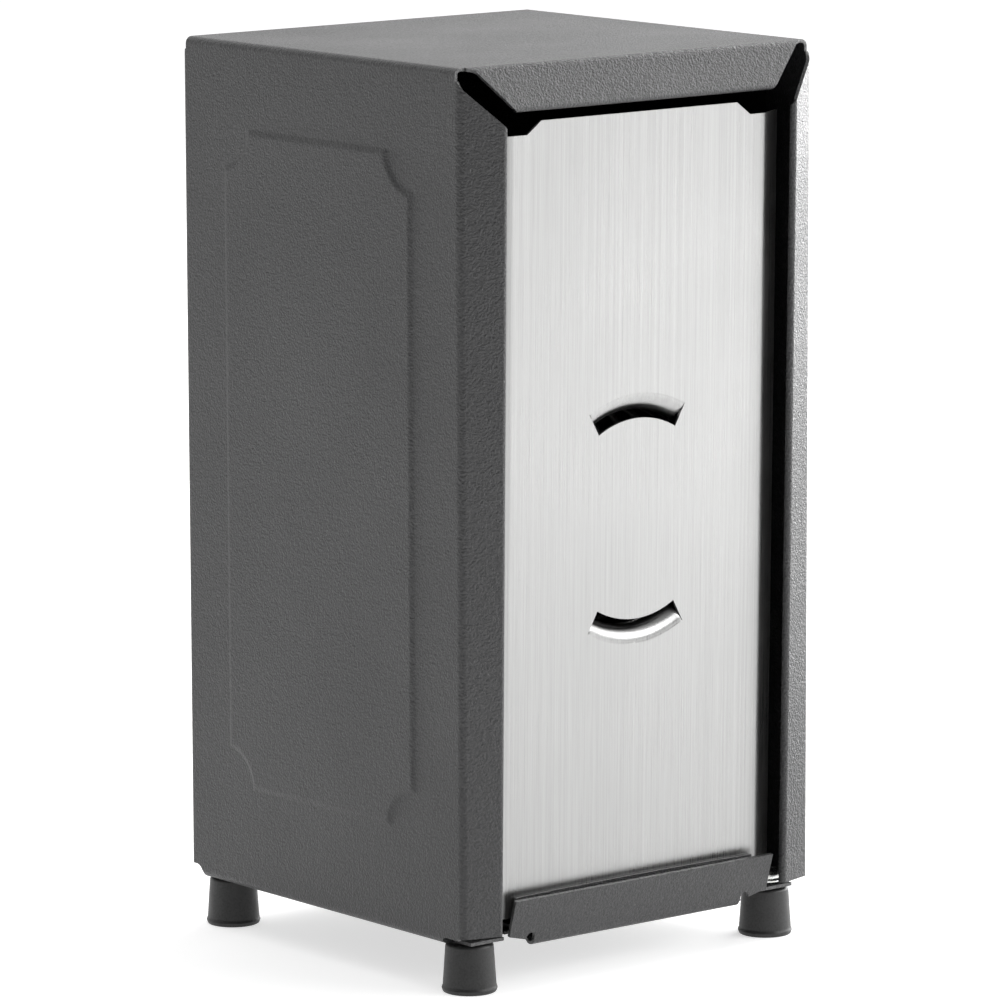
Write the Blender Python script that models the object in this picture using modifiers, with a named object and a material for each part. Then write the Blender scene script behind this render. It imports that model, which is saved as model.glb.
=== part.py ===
"""Tabletop napkin dispenser: a folded sheet-steel case with a spring-loaded steel faceplate.

Metres, +Z up, the front faces -Y, and the origin is under the middle of the case on the table.
"""
import math

import bmesh
import bpy
from mathutils import Vector

# ---- driving dimensions -------------------------------------------------------------------
CASE_W = 0.0942          # across the two side panels
CASE_D = 0.0925          # from the front folds to the back face
TOP_Z = 0.1905           # top of the case above the table
SHEET = 0.0007           # painted sheet of the case and its panels
GAP = 0.0003             # clearance left between neighbouring pieces

LIP_OUT_TOP = 0.0054     # how far the side flanges lean out in front of the folds, at the top
LIP_OUT_BOTTOM = 0.0026  # and at the bottom
LIP_FRONT = 0.00476      # the rounded lips stop this far in front of the folds
LIP_INSET = 0.0091       # width of the side flanges, seen from the front
VISOR_OUT = 0.0032       # how far the visor leans out
VISOR_DROP = 0.00945     # height of the visor, seen from the front
RETURN = 0.0016          # edge of every lip turned back inside
RETURN_R = 0.00085       # outside radius of that turn
FOLD_START = 0.0013      # length of sheet taken by half a fold
TOP_R = 0.0015           # outside radius of the folds along the top
HEM_R = 0.0018           # outside radius of the folds along the bottom
HEM = 0.0120             # width of the hems under the side panels, which carry the feet
REAR_FLANGE = 0.0105     # width of the rear flanges
SLOT_R = 0.0025          # round end of the mitre slots, half their width
SLOT_EDGE = 0.0001       # metal left outside the round end
FLANGE_BOTTOM_Z = 0.0125 # the flanges end here
NOTCH_X = 0.0438         # corner reliefs in the lower side folds start this far out
NOTCH_FRONT = 0.0070     # length and round end of the front ones
NOTCH_FRONT_R = 0.0016
NOTCH_BACK = 0.0042      # and of the rear ones
NOTCH_BACK_R = 0.0022

PANEL_FRONT = 0.0147     # raised side panels: distance from the front folds
PANEL_BACK = 0.0783
PANEL_LOW_Z = 0.0322
PANEL_HIGH_Z = 0.1728
PANEL_SCOOP = 0.0081     # radius of the scooped corners
PANEL_RISE = 0.00055
PANEL_SLOPE = 0.0015     # width of the sloping edge

HEM_Z = 0.0105           # underside of the hems
BASE_HALF = 0.0456       # base panel, lying on the hems
BASE_FRONT = 0.0019      # its edges stand back from the folds and from the back face
BASE_BACK = 0.0020
BASE_EAR = 0.0138        # length and half width of its narrower ends, clear of the foot screws
BASE_END_HALF = 0.0345

TRAY_HALF = 0.0280       # catch tray: its floor, foot and joggle
TRAY_FLOOR_Z = 0.0086
TRAY_FLOOR = 0.0022      # the floor ends and the joggle starts this far behind the folds
TRAY_STEP = 0.0044       # the joggle ends here
TRAY_FOOT = 0.0130       # and the foot here
WALL_HALF = 0.0350       # its wall, with an ear at each side
WALL_TOP_Z = 0.0190
WALL_EAR_Z = 0.0114
WALL_OUT_TOP = 0.0026    # in front of the folds
WALL_OUT_BOTTOM = -0.0004
TRAY_RELIEF_X = 0.0292   # bend reliefs between floor and ears
TRAY_RELIEF_R = 0.0011
STOP_HALF = 0.0322       # napkin stop, the strip behind the tray wall
STOP_SHEET = 0.0006
STOP_FRONT = 0.00105
STOP_FOOT = 0.0095
STOP_BOW = 0.0003

PLATE_SHEET = 0.0006     # brushed faceplate
PLATE_HALF = 0.0343
PLATE_EAR_HALF = 0.02985
PLATE_TAB_HALF = 0.0262
PLATE_BOTTOM_Z = 0.0147
PLATE_EAR_Z = 0.1761
PLATE_TAB_Z = 0.1788
PLATE_LEAN = 0.0155      # radians, the top leans forward
PLATE_SETBACK = 0.0007   # front of the plate behind the folds, at the middle of the slots
WING_OUT = 0.0055
WING_BACK = 0.0029
SLOT_CENTRE_Z = 0.09445
ARC_OUTER = 0.0262
ARC_INNER = 0.0210
ARC_HALF_ANGLE = math.radians(29.3)
CURL_R = 0.0039
CURL_ANGLE = math.radians(75)
CURL_SHEET = 0.0005

SPRING_R = 0.0234        # mean radius of the coil
WIRE_R = 0.0007
SPRING_CLEAR = 0.0044    # first turn behind the front of the plate
TURNS_CLOSED = 1.0       # at each end
TURNS_ACTIVE = 9.0

FOOT_X = 0.0404
FOOT_Y = 0.04025         # from the middle of the case
FOOT_TOP_R = 0.00495
FOOT_BASE_R = 0.00580
BOLT_R = 0.0019
HOLE_R = BOLT_R + GAP
RIVET_R = 0.0013
RIVET_HOLE_R = RIVET_R + GAP
RIVET_HEAD_H = 0.0008
RIVET_PROUD = GAP + RIVET_HEAD_H

# ---- values worked out from them ----------------------------------------------------------
HALF_W = CASE_W / 2
FRONT = -(CASE_D + LIP_FRONT + RIVET_PROUD) / 2 + LIP_FRONT
BACK = FRONT + CASE_D
MIDDLE_Y = (FRONT + BACK) / 2
HEM_TOP_Z = HEM_Z + SHEET
BASE_Z = HEM_TOP_Z + GAP
BASE_TOP_Z = BASE_Z + SHEET
FOOT_TOP_Z = HEM_Z - GAP
SLOT_Z = TOP_Z - SLOT_R - SLOT_EDGE
SLOT_X = HALF_W - SLOT_R - SLOT_EDGE
BACK_PANEL_Y = BACK - SHEET - GAP - SHEET / 2

POWDER_BLACK = (0.045, 0.045, 0.047)
STEEL = (0.62, 0.62, 0.61)
ZINC = (0.72, 0.72, 0.70)
RUBBER = (0.022, 0.022, 0.022)

for old in list(bpy.data.objects):
    bpy.data.objects.remove(old, do_unlink=True)


def collection(name):
    """A new collection in the scene."""
    made = bpy.data.collections.new(name)
    bpy.context.scene.collection.children.link(made)
    return made


PARTS = collection("napkin_dispenser")
CUTTERS = collection("cutters")


def material(name, colour, roughness, metallic):
    """A Principled material."""
    made = bpy.data.materials.new(name)
    made.use_nodes = True
    shader = made.node_tree.nodes["Principled BSDF"]
    shader.inputs["Base Color"].default_value = (*colour, 1.0)
    shader.inputs["Roughness"].default_value = roughness
    shader.inputs["Metallic"].default_value = metallic
    return made


def new_object(name, mesh, where):
    """An object for a mesh, in one of the two collections."""
    made = bpy.data.objects.new(name, mesh)
    where.objects.link(made)
    return made


def part(name, mesh, look, smooth=False):
    """A sub-part with its own copy of a material."""
    made = new_object(name, mesh, PARTS)
    colour, roughness, metallic = look
    mesh.materials.clear()
    mesh.materials.append(material(name, colour, roughness, metallic))
    if smooth:
        mesh.shade_smooth()
        mesh.set_sharp_from_angle(angle=math.radians(35))
    return made


def cutter(name, mesh):
    """A tool for a Boolean, kept out of renders."""
    made = new_object(name, mesh, CUTTERS)
    made.hide_render = True
    made.display_type = "WIRE"
    return made


def boolean(target, tool, operation):
    """A Boolean modifier that cuts or joins with one tool."""
    modifier = target.modifiers.new(tool.name, "BOOLEAN")
    modifier.operation = operation
    modifier.solver = "EXACT"
    modifier.object = tool


def solidify(target, thickness):
    """Gives an open surface its sheet thickness, behind the side its faces point to."""
    modifier = target.modifiers.new("sheet", "SOLIDIFY")
    modifier.thickness = thickness
    modifier.offset = -1.0
    modifier.use_even_offset = True


def finish_mesh(name, bm):
    """A mesh from a bmesh."""
    mesh = bpy.data.meshes.new(name)
    bm.to_mesh(mesh)
    bm.free()
    return mesh


# ---- outlines -----------------------------------------------------------------------------
def arc(centre, radius, start, end, steps):
    """Points on an arc, from one angle to another, in radians."""
    angles = [start + (end - start) * i / steps for i in range(steps + 1)]
    return [(centre[0] + radius * math.cos(a), centre[1] + radius * math.sin(a)) for a in angles]


def rounded_rectangle(low, high, radius, steps=4):
    """A rectangle with round corners, anticlockwise from its lower left corner."""
    corners = [((low[0], low[1]), 1, 1, math.pi), ((high[0], low[1]), -1, 1, 1.5 * math.pi),
               ((high[0], high[1]), -1, -1, 0.0), ((low[0], high[1]), 1, -1, 0.5 * math.pi)]
    outline = []
    for (x, y), sx, sy, start in corners:
        centre = (x + sx * radius, y + sy * radius)
        outline += arc(centre, radius, start, start + math.pi / 2, steps)
    return outline


def scooped_rectangle(low, high, radius, steps=6):
    """A rectangle whose corners are scooped out, anticlockwise."""
    corners = [((low[0], low[1]), math.pi / 2), ((high[0], low[1]), math.pi),
               ((high[0], high[1]), 1.5 * math.pi), ((low[0], high[1]), 2 * math.pi)]
    outline = []
    for corner, start in corners:
        outline += arc(corner, radius, start, start - math.pi / 2, steps)
    return outline


def prism_mesh(name, loops, thickness):
    """A flat outline, with any holes after it, filled and given thickness about local z = 0."""
    curve = bpy.data.curves.new(name, "CURVE")
    curve.dimensions = "2D"
    curve.fill_mode = "BOTH"
    curve.extrude = thickness / 2
    for loop in loops:
        spline = curve.splines.new("POLY")
        spline.points.add(len(loop) - 1)
        for point, (x, y) in zip(spline.points, loop):
            point.co = (x, y, 0.0, 1.0)
        spline.use_cyclic_u = True
    guide = new_object(name + "_curve", curve, CUTTERS)
    bpy.context.view_layer.update()
    evaluated = guide.evaluated_get(bpy.context.evaluated_depsgraph_get())
    mesh = bpy.data.meshes.new_from_object(evaluated)
    bpy.data.objects.remove(guide, do_unlink=True)
    bm = bmesh.new()
    bm.from_mesh(mesh)
    bmesh.ops.remove_doubles(bm, verts=bm.verts, dist=1e-6)
    bmesh.ops.recalc_face_normals(bm, faces=bm.faces)
    bm.to_mesh(mesh)
    bm.free()
    return mesh


def face_y(made, x, y, z):
    """Stands a prism up: its outline lies in X and Z, its thickness along Y."""
    made.rotation_euler = (math.pi / 2, 0.0, 0.0)
    made.location = (x, y, z)


def cylinders(name, places, radius, depth, axis, segments=16):
    """One cutter made of separate cylinders along an axis."""
    bm = bmesh.new()
    turn = Vector((0, 0, 1)).rotation_difference(Vector(axis)).to_matrix().to_4x4()
    for place in places:
        made = bmesh.ops.create_cone(bm, cap_ends=True, segments=segments, radius1=radius,
                                     radius2=radius, depth=depth, matrix=turn)
        bmesh.ops.translate(bm, verts=made["verts"], vec=place)
    return cutter(name, finish_mesh(name, bm))


def turned(name, profile, look, steps=24):
    """A turned piece: a closed profile of (radius, z), down its outer side, about local Z."""
    bm = bmesh.new()
    ring = [bm.verts.new((r, 0.0, z)) for r, z in profile]
    for a, b in zip(ring, ring[1:] + ring[:1]):
        bm.edges.new((a, b))
    made = part(name, finish_mesh(name, bm), look, smooth=False)
    screw = made.modifiers.new("turn", "SCREW")
    screw.steps = steps
    screw.render_steps = steps
    screw.use_merge_vertices = True
    screw.merge_threshold = 0.00001
    screw.use_smooth_shade = True
    return made


def turned_solid(name, profile, look, steps=24):
    """A turned piece without a bore: the profile's first and last points are on the axis."""
    bm = bmesh.new()
    ring = [bm.verts.new((r, 0.0, z)) for r, z in profile]
    for a, b in zip(ring, ring[1:]):
        bm.edges.new((a, b))
    made = part(name, finish_mesh(name, bm), look, smooth=False)
    screw = made.modifiers.new("turn", "SCREW")
    screw.steps = steps
    screw.render_steps = steps
    screw.use_merge_vertices = True
    screw.merge_threshold = 0.00001
    screw.use_smooth_shade = True
    return made


# ---- folded sheet -------------------------------------------------------------------------
def fold_arc(corner, before, after, length, steps):
    """The round of a fold: it starts `length` before the corner and ends `length` after it."""
    before = Vector(before).normalized()
    after = Vector(after).normalized()
    corner = Vector(corner)
    turn = before.angle(after)
    radius = length / math.tan(turn / 2)
    start = corner - before * length
    towards = (after - before * after.dot(before)).normalized()
    points = []
    for i in range(steps + 1):
        a = turn * i / steps
        points.append(start + before * radius * math.sin(a) + towards * radius * (1 - math.cos(a)))
    return points


def lip_profile(width, out):
    """A flange as (inset, forward): its fold, its flat and the edge turned back inside."""
    tip = Vector((width, out))
    back = Vector((0.0, -1.0))
    first = fold_arc((0.0, 0.0), (0.0, 1.0), tip, FOLD_START, 4)
    turn = tip.angle(back)
    last = fold_arc(tip, tip, back, RETURN_R * math.tan(turn / 2), 4)
    return first + last + [tip + back * RETURN]


def flat_flange_profile(width):
    """A flange folded square, as (inset, outward)."""
    first = fold_arc((0.0, 0.0), (0.0, 1.0), (1.0, 0.0), FOLD_START, 4)
    return first + [Vector((width, 0.0))]


def slot_edge(inset):
    """How far down a mitre slot's edge lies from the outer corner, `inset` from the fold."""
    straight = SLOT_EDGE + SLOT_R * (1 - math.sqrt(0.5))
    if inset >= straight:
        return SLOT_EDGE + SLOT_R * (1 + math.sqrt(0.5)) + inset - straight
    across = max(0.0, SLOT_R + SLOT_EDGE - max(inset, SLOT_EDGE))
    return SLOT_EDGE + SLOT_R + math.sqrt(max(0.0, SLOT_R ** 2 - across ** 2))


def grid(bm, rows):
    """Quads between rows of vertices."""
    for upper, lower in zip(rows, rows[1:]):
        for i in range(len(upper) - 1):
            bm.faces.new((upper[i], upper[i + 1], lower[i + 1], lower[i]))


def shell_profile():
    """Half the section of the wrapped sheet as (x, z), from the hem up to the middle of the top."""
    hem = fold_arc((HALF_W, HEM_Z), (1.0, 0.0), (0.0, 1.0), HEM_R, 4)
    levels = 7
    span = SLOT_Z - FLANGE_BOTTOM_Z
    side = [Vector((HALF_W, FLANGE_BOTTOM_Z + span * i / (levels - 1))) for i in range(levels)]
    top = fold_arc((HALF_W, TOP_Z), (0.0, 1.0), (-1.0, 0.0), TOP_R, 4)
    end = [Vector((SLOT_X, TOP_Z))]
    return [Vector((HALF_W - HEM, HEM_Z))] + hem + side + top + end, levels


def shell_surface():
    """The outside of the case: the wrapped sheet with its front and rear flanges."""
    bm = bmesh.new()
    half, levels = shell_profile()
    first_side = 1 + 5
    section = [(p.x, p.y) for p in half] + [(-p.x, p.y) for p in reversed(half)]
    ends = {}
    for name, y in (("front", FRONT + FOLD_START), ("back", BACK - FOLD_START)):
        ends[name] = [bm.verts.new((x, y, z)) for x, z in section]
    grid(bm, [ends["front"], ends["back"]])

    def side_flange(edge, sign, profile_at, plane, outward):
        """A flange along one side: rows follow the profile, columns the levels."""
        rows = [edge]
        count = len(profile_at(0.0))
        for j in range(1, count):
            row = []
            for i, root in enumerate(edge):
                share = i / (len(edge) - 1)
                inset, out = profile_at(share)[j]
                z = root.co.z
                if i == len(edge) - 1:
                    z = TOP_Z - slot_edge(inset)
                row.append(bm.verts.new((sign * (HALF_W - inset), plane + outward * out, z)))
            rows.append(row)
        grid(bm, rows)

    def top_flange(edge, profile, plane, outward):
        """A flange along the top, between its two slots."""
        rows = [edge]
        for inset, out in profile[1:]:
            row = []
            for root in edge:
                x = math.copysign(HALF_W - slot_edge(inset), root.co.x)
                row.append(bm.verts.new((x, plane + outward * out, TOP_Z - inset)))
            rows.append(row)
        grid(bm, rows)

    count = len(section)
    last_side = first_side + levels
    for name, plane, outward in (("front", FRONT, -1), ("back", BACK, 1)):
        verts = ends[name]
        right = verts[first_side:last_side]
        left = [verts[count - 1 - i] for i in range(first_side, last_side)]
        middle = [verts[count // 2 - 1], verts[count // 2]]
        if name == "front":
            def leaning(share):
                out = LIP_OUT_BOTTOM + (LIP_OUT_TOP - LIP_OUT_BOTTOM) * share
                return lip_profile(LIP_INSET, out)
            side_flange(right, 1, leaning, plane, outward)
            side_flange(left, -1, leaning, plane, outward)
            top_flange(middle, lip_profile(VISOR_DROP, VISOR_OUT), plane, outward)
        else:
            def square(share):
                return flat_flange_profile(REAR_FLANGE)
            side_flange(right, 1, square, plane, outward)
            side_flange(left, -1, square, plane, outward)
            top_flange(middle, flat_flange_profile(REAR_FLANGE), plane, outward)

    bmesh.ops.recalc_face_normals(bm, faces=bm.faces)
    highest = max(bm.faces, key=lambda f: f.calc_center_median().z)
    if highest.normal.z < 0:
        bmesh.ops.reverse_faces(bm, faces=bm.faces)
    return finish_mesh("case_shell", bm)


def raised_panel(name, x_face, grow):
    """A solid in the shape of the raised side panel, sloping in to its face at x_face."""
    low = (FRONT + PANEL_FRONT - grow, PANEL_LOW_Z - grow)
    high = (FRONT + PANEL_BACK + grow, PANEL_HIGH_Z + grow)
    outline = scooped_rectangle(low, high, PANEL_SCOOP)
    bm = bmesh.new()
    face = bm.faces.new([bm.verts.new((x_face - PANEL_RISE, y, z)) for y, z in outline])
    bm.normal_update()
    if face.normal.x < 0:
        face.normal_flip()
    bm.normal_update()
    bmesh.ops.inset_region(bm, faces=[face], use_boundary=True, use_even_offset=True,
                           thickness=PANEL_SLOPE, depth=PANEL_RISE)
    rim = [e for e in bm.edges if e.is_boundary]
    wall = bmesh.ops.extrude_edge_only(bm, edges=rim)
    added = [v for v in wall["geom"] if isinstance(v, bmesh.types.BMVert)]
    bmesh.ops.translate(bm, verts=added, vec=(-SHEET * 0.6, 0.0, 0.0))
    bmesh.ops.contextual_create(bm, geom=[e for e in bm.edges if e.is_boundary])
    mirror = bmesh.ops.duplicate(bm, geom=bm.verts[:] + bm.edges[:] + bm.faces[:])
    copies = [v for v in mirror["geom"] if isinstance(v, bmesh.types.BMVert)]
    bmesh.ops.scale(bm, vec=(-1.0, 1.0, 1.0), verts=copies)
    bmesh.ops.recalc_face_normals(bm, faces=bm.faces)
    return cutter(name, finish_mesh(name, bm))


def notches(name):
    """Cutters for the corner reliefs: round-ended, through the lower side folds only."""
    low, high, reach = HEM_Z - 0.002, FLANGE_BOTTOM_Z - 0.0004, 0.006
    end, r = FRONT + NOTCH_FRONT, NOTCH_FRONT_R
    front = [(FRONT - reach, low), (end, low)]
    front += arc((end - r, high - r), r, 0.0, math.pi / 2, 6) + [(FRONT - reach, high)]
    high = HEM_Z + 0.00265
    end, r = BACK - NOTCH_BACK, NOTCH_BACK_R
    back = [(end, low), (BACK + reach, low), (BACK + reach, high)]
    back += arc((end + r, high - r), r, math.pi / 2, math.pi, 6)
    bm = bmesh.new()
    for sign in (-1, 1):
        for outline in (front, back):
            face = bm.faces.new([bm.verts.new((sign * NOTCH_X, y, z)) for y, z in outline])
            made = bmesh.ops.extrude_face_region(bm, geom=[face])
            moved = [v for v in made["geom"] if isinstance(v, bmesh.types.BMVert)]
            bmesh.ops.translate(bm, verts=moved, vec=(sign * 0.006, 0.0, 0.0))
    bmesh.ops.recalc_face_normals(bm, faces=bm.faces)
    return cutter(name, finish_mesh(name, bm))


# ---- where the fasteners go ---------------------------------------------------------------
BACK_RIVETS = [(sign * 0.0405, z) for z in (0.040, 0.100, 0.160) for sign in (-1, 1)]
HEM_RIVETS = [(sign * 0.0376, MIDDLE_Y + dy) for dy in (-0.020, 0.020) for sign in (-1, 1)]
TRAY_RIVETS = [(sign * 0.020, FRONT + 0.0075) for sign in (-1, 1)]
FEET = {"front_left": (-FOOT_X, MIDDLE_Y - FOOT_Y), "front_right": (FOOT_X, MIDDLE_Y - FOOT_Y),
        "rear_left": (-FOOT_X, MIDDLE_Y + FOOT_Y), "rear_right": (FOOT_X, MIDDLE_Y + FOOT_Y)}


def case_shell():
    """One wrapped sheet: top, sides, visor, front and rear flanges and hems."""
    shell = part("case_shell", shell_surface(), (POWDER_BLACK, 0.55, 0.0))
    solidify(shell, SHEET)
    boolean(shell, raised_panel("panel_out", HALF_W + PANEL_RISE, 0.0), "UNION")
    boolean(shell, raised_panel("panel_in", HALF_W + PANEL_RISE - SHEET, -SHEET / 2), "DIFFERENCE")
    boolean(shell, notches("notches"), "DIFFERENCE")
    feet = [(x, y, HEM_Z) for x, y in FEET.values()]
    boolean(shell, cylinders("foot_holes", feet, HOLE_R, 0.005, (0, 0, 1)), "DIFFERENCE")
    hem_places = [(x, y, HEM_Z) for x, y in HEM_RIVETS]
    boolean(shell, cylinders("hem_holes", hem_places, RIVET_HOLE_R, 0.004, (0, 0, 1)), "DIFFERENCE")
    places = [(x, BACK, z) for x, z in BACK_RIVETS]
    boolean(shell, cylinders("flange_holes", places, RIVET_HOLE_R, 0.004, (0, 1, 0)), "DIFFERENCE")
    return shell


def back_panel():
    """Flat sheet that closes the back, riveted inside the rear flanges."""
    half = HALF_W - SHEET - 2 * GAP
    low = BASE_Z
    high = TOP_Z - SHEET - 2 * GAP
    loops = [rounded_rectangle((-half, low), (half, high), 0.0020)]
    loops += [arc((x, z), RIVET_HOLE_R, 0.0, math.tau * 15 / 16, 15) for x, z in BACK_RIVETS]
    loops.append(arc((0.0, SLOT_CENTRE_Z), RIVET_HOLE_R, 0.0, math.tau * 15 / 16, 15))
    panel = part("back_panel", prism_mesh("back_panel", loops, SHEET), (POWDER_BLACK, 0.55, 0.0))
    face_y(panel, 0.0, BACK_PANEL_Y, 0.0)
    return panel


def base_panel():
    """Flat bottom sheet lying on the hems, its corners cut back round the foot screws."""
    front, back = FRONT + BASE_FRONT, BACK - BASE_BACK
    right = [(BASE_END_HALF, front), (BASE_END_HALF, front + BASE_EAR),
             (BASE_HALF, front + BASE_EAR), (BASE_HALF, back - BASE_EAR),
             (BASE_END_HALF, back - BASE_EAR), (BASE_END_HALF, back)]
    loops = [right + [(-x, y) for x, y in reversed(right)]]
    loops += [arc(place, RIVET_HOLE_R, 0.0, math.tau * 15 / 16, 15)
              for place in HEM_RIVETS + TRAY_RIVETS]
    base = part("base_panel", prism_mesh("base_panel", loops, SHEET), (POWDER_BLACK, 0.55, 0.0))
    base.location = (0.0, 0.0, BASE_Z + SHEET / 2)
    return base


def tray_surface():
    """Underside of the tray bracket: foot, joggle, floor and the leaning wall with its ears."""
    bm = bmesh.new()
    lean = Vector((-(WALL_OUT_TOP - WALL_OUT_BOTTOM), WALL_TOP_Z - TRAY_FLOOR_Z))
    corner = Vector((FRONT - WALL_OUT_BOTTOM, TRAY_FLOOR_Z))
    high = Vector((FRONT + TRAY_STEP, HEM_Z))
    low = Vector((FRONT + TRAY_FLOOR, TRAY_FLOOR_Z))
    ahead = Vector((-1.0, 0.0))

    def on_wall(z):
        return corner + lean * (z - TRAY_FLOOR_Z) / lean.y

    stations = [Vector((FRONT + TRAY_FOOT, HEM_Z))]
    stations += fold_arc(high, ahead, low - high, 0.0005, 2)
    stations += fold_arc(low, low - high, ahead, 0.0005, 2)
    stations += fold_arc(corner, ahead, lean, 0.0011, 4)
    stations += [on_wall(WALL_EAR_Z), on_wall(WALL_TOP_Z)]
    strips = [[bm.verts.new((x, y, z)) for x in (-TRAY_HALF, TRAY_HALF)] for y, z in stations]
    grid(bm, strips)
    for i, sign in ((0, -1), (1, 1)):
        ear = [bm.verts.new((sign * WALL_HALF, y, z)) for y, z in stations[-2:]]
        bm.faces.new((strips[-2][i], ear[0], ear[1], strips[-1][i]))
        bm.faces.new((strips[-3][i], ear[0], strips[-2][i]))
    bmesh.ops.recalc_face_normals(bm, faces=bm.faces)
    if max(bm.faces, key=lambda f: f.calc_area()).normal.y > 0:
        bmesh.ops.reverse_faces(bm, faces=bm.faces)
    return finish_mesh("tray", bm)


def tray():
    """Catch tray bracket, riveted under the front of the base."""
    made = part("tray", tray_surface(), (POWDER_BLACK, 0.55, 0.0))
    solidify(made, SHEET)
    relief = [(sign * TRAY_RELIEF_X, FRONT, WALL_EAR_Z - 0.0009) for sign in (-1, 1)]
    boolean(made, cylinders("tray_relief", relief, TRAY_RELIEF_R, 0.005, (0, 1, 0)), "DIFFERENCE")
    places = [(x, y, HEM_Z) for x, y in TRAY_RIVETS]
    boolean(made, cylinders("tray_holes", places, RIVET_HOLE_R, 0.004, (0, 0, 1)), "DIFFERENCE")
    return made


def napkin_stop():
    """Angle strip behind the tray wall that the faceplate's lower edge rests against."""
    bm = bmesh.new()
    foot_z = BASE_TOP_Z + GAP
    front_y = FRONT + STOP_FRONT
    columns = 9
    rows = []
    path = [(front_y + STOP_FOOT, foot_z)]
    path += [tuple(p) for p in fold_arc((front_y, foot_z), (-1.0, 0.0), (0.0, 1.0), 0.0010, 4)]
    path.append((front_y, WALL_TOP_Z))
    for j, (y, z) in enumerate(path):
        row = []
        for i in range(columns):
            across = -1 + 2 * i / (columns - 1)
            rise = STOP_BOW * (1 - across ** 2) if j == len(path) - 1 else 0.0
            row.append(bm.verts.new((STOP_HALF * across, y, z + rise)))
        rows.append(row)
    grid(bm, rows)
    bmesh.ops.recalc_face_normals(bm, faces=bm.faces)
    front_face = min(bm.faces, key=lambda f: f.calc_center_median().y)
    if front_face.normal.y > 0:
        bmesh.ops.reverse_faces(bm, faces=bm.faces)
    stop = part("napkin_stop", finish_mesh("napkin_stop", bm), (POWDER_BLACK, 0.55, 0.0))
    solidify(stop, STOP_SHEET)
    places = [(x, y, foot_z) for x, y in TRAY_RIVETS]
    boolean(stop, cylinders("stop_holes", places, RIVET_HOLE_R, 0.003, (0, 0, 1)), "DIFFERENCE")
    return stop


def plate_surface():
    """Front of the faceplate about the middle of its slots: the face, its tab and its wings."""
    bm = bmesh.new()
    wing = fold_arc((PLATE_HALF, 0.0), (1.0, 0.0), (WING_OUT, WING_BACK), 0.0007, 3)
    half = [Vector((PLATE_TAB_HALF, 0.0)), Vector((PLATE_EAR_HALF, 0.0))] + wing
    half.append(Vector((PLATE_HALF + WING_OUT, WING_BACK)))
    section = [(-p.x, p.y) for p in reversed(half)] + [(p.x, p.y) for p in half]
    low, ear, tab = (z - SLOT_CENTRE_Z for z in (PLATE_BOTTOM_Z, PLATE_EAR_Z, PLATE_TAB_Z))
    rows = [[bm.verts.new((x, y, z)) for x, y in section] for z in (low, ear)]
    grid(bm, rows)
    left = len(half) - 1
    ears = rows[1][left - 1:left + 3]
    tips = [bm.verts.new((x, 0.0, tab)) for x in (-PLATE_TAB_HALF, PLATE_TAB_HALF)]
    bm.faces.new((ears[0], ears[1], tips[0]))
    bm.faces.new((ears[1], ears[2], tips[1], tips[0]))
    bm.faces.new((ears[2], ears[3], tips[1]))
    bmesh.ops.recalc_face_normals(bm, faces=bm.faces)
    if max(bm.faces, key=lambda f: f.calc_area()).normal.y > 0:
        bmesh.ops.reverse_faces(bm, faces=bm.faces)
    return finish_mesh("faceplate", bm)


def arc_slots(name):
    """The two slots, facing each other on one circle."""
    bm = bmesh.new()
    for middle in (math.pi / 2, -math.pi / 2):
        start, end = middle - ARC_HALF_ANGLE, middle + ARC_HALF_ANGLE
        outline = arc((0, 0), ARC_OUTER, start, end, 12) + arc((0, 0), ARC_INNER, end, start, 12)
        face = bm.faces.new([bm.verts.new((x, -0.002, z)) for x, z in outline])
        made = bmesh.ops.extrude_face_region(bm, geom=[face])
        moved = [v for v in made["geom"] if isinstance(v, bmesh.types.BMVert)]
        bmesh.ops.translate(bm, verts=moved, vec=(0.0, 0.004, 0.0))
    bmesh.ops.recalc_face_normals(bm, faces=bm.faces)
    return cutter(name, finish_mesh(name, bm))


def slot_curls(name):
    """The tongues left by the slots, curled back inside round the end of the spring."""
    skin = 0.00005
    root = 0.0004
    steps = 5
    outer = [(ARC_OUTER + root, skin)]
    inner = [(ARC_OUTER + root, skin + CURL_SHEET)]
    for i in range(steps + 1):
        a = CURL_ANGLE * i / steps
        outer.append((ARC_OUTER - CURL_R * math.sin(a), skin + CURL_R * (1 - math.cos(a))))
        near = CURL_R - CURL_SHEET
        inner.append((ARC_OUTER - near * math.sin(a), skin + CURL_R - near * math.cos(a)))
    profile = outer + inner[::-1]
    bm = bmesh.new()
    for middle in (math.pi / 2, -math.pi / 2):
        margin = math.radians(0.4)
        start = middle - ARC_HALF_ANGLE + margin
        spoke = [bm.verts.new((r * math.cos(start), y, r * math.sin(start))) for r, y in profile]
        face = bm.faces.new(spoke)
        bmesh.ops.spin(bm, geom=[face] + list(face.edges) + spoke, cent=(0, 0, 0), axis=(0, -1, 0),
                       angle=2 * (ARC_HALF_ANGLE - margin), steps=12, use_duplicate=False)
    bmesh.ops.recalc_face_normals(bm, faces=bm.faces)
    return cutter(name, finish_mesh(name, bm))


def faceplate():
    """Brushed plate that the spring pushes against the napkins."""
    plate = part("faceplate", plate_surface(), (STEEL, 0.30, 1.0))
    solidify(plate, PLATE_SHEET)
    slots = arc_slots("arc_slots")
    curls = slot_curls("slot_curls")
    boolean(plate, slots, "DIFFERENCE")
    boolean(plate, curls, "UNION")
    for made in (plate, slots, curls):
        made.location = (0.0, FRONT + PLATE_SETBACK, SLOT_CENTRE_Z)
        made.rotation_euler = (PLATE_LEAN, 0.0, 0.0)
    return plate


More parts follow.
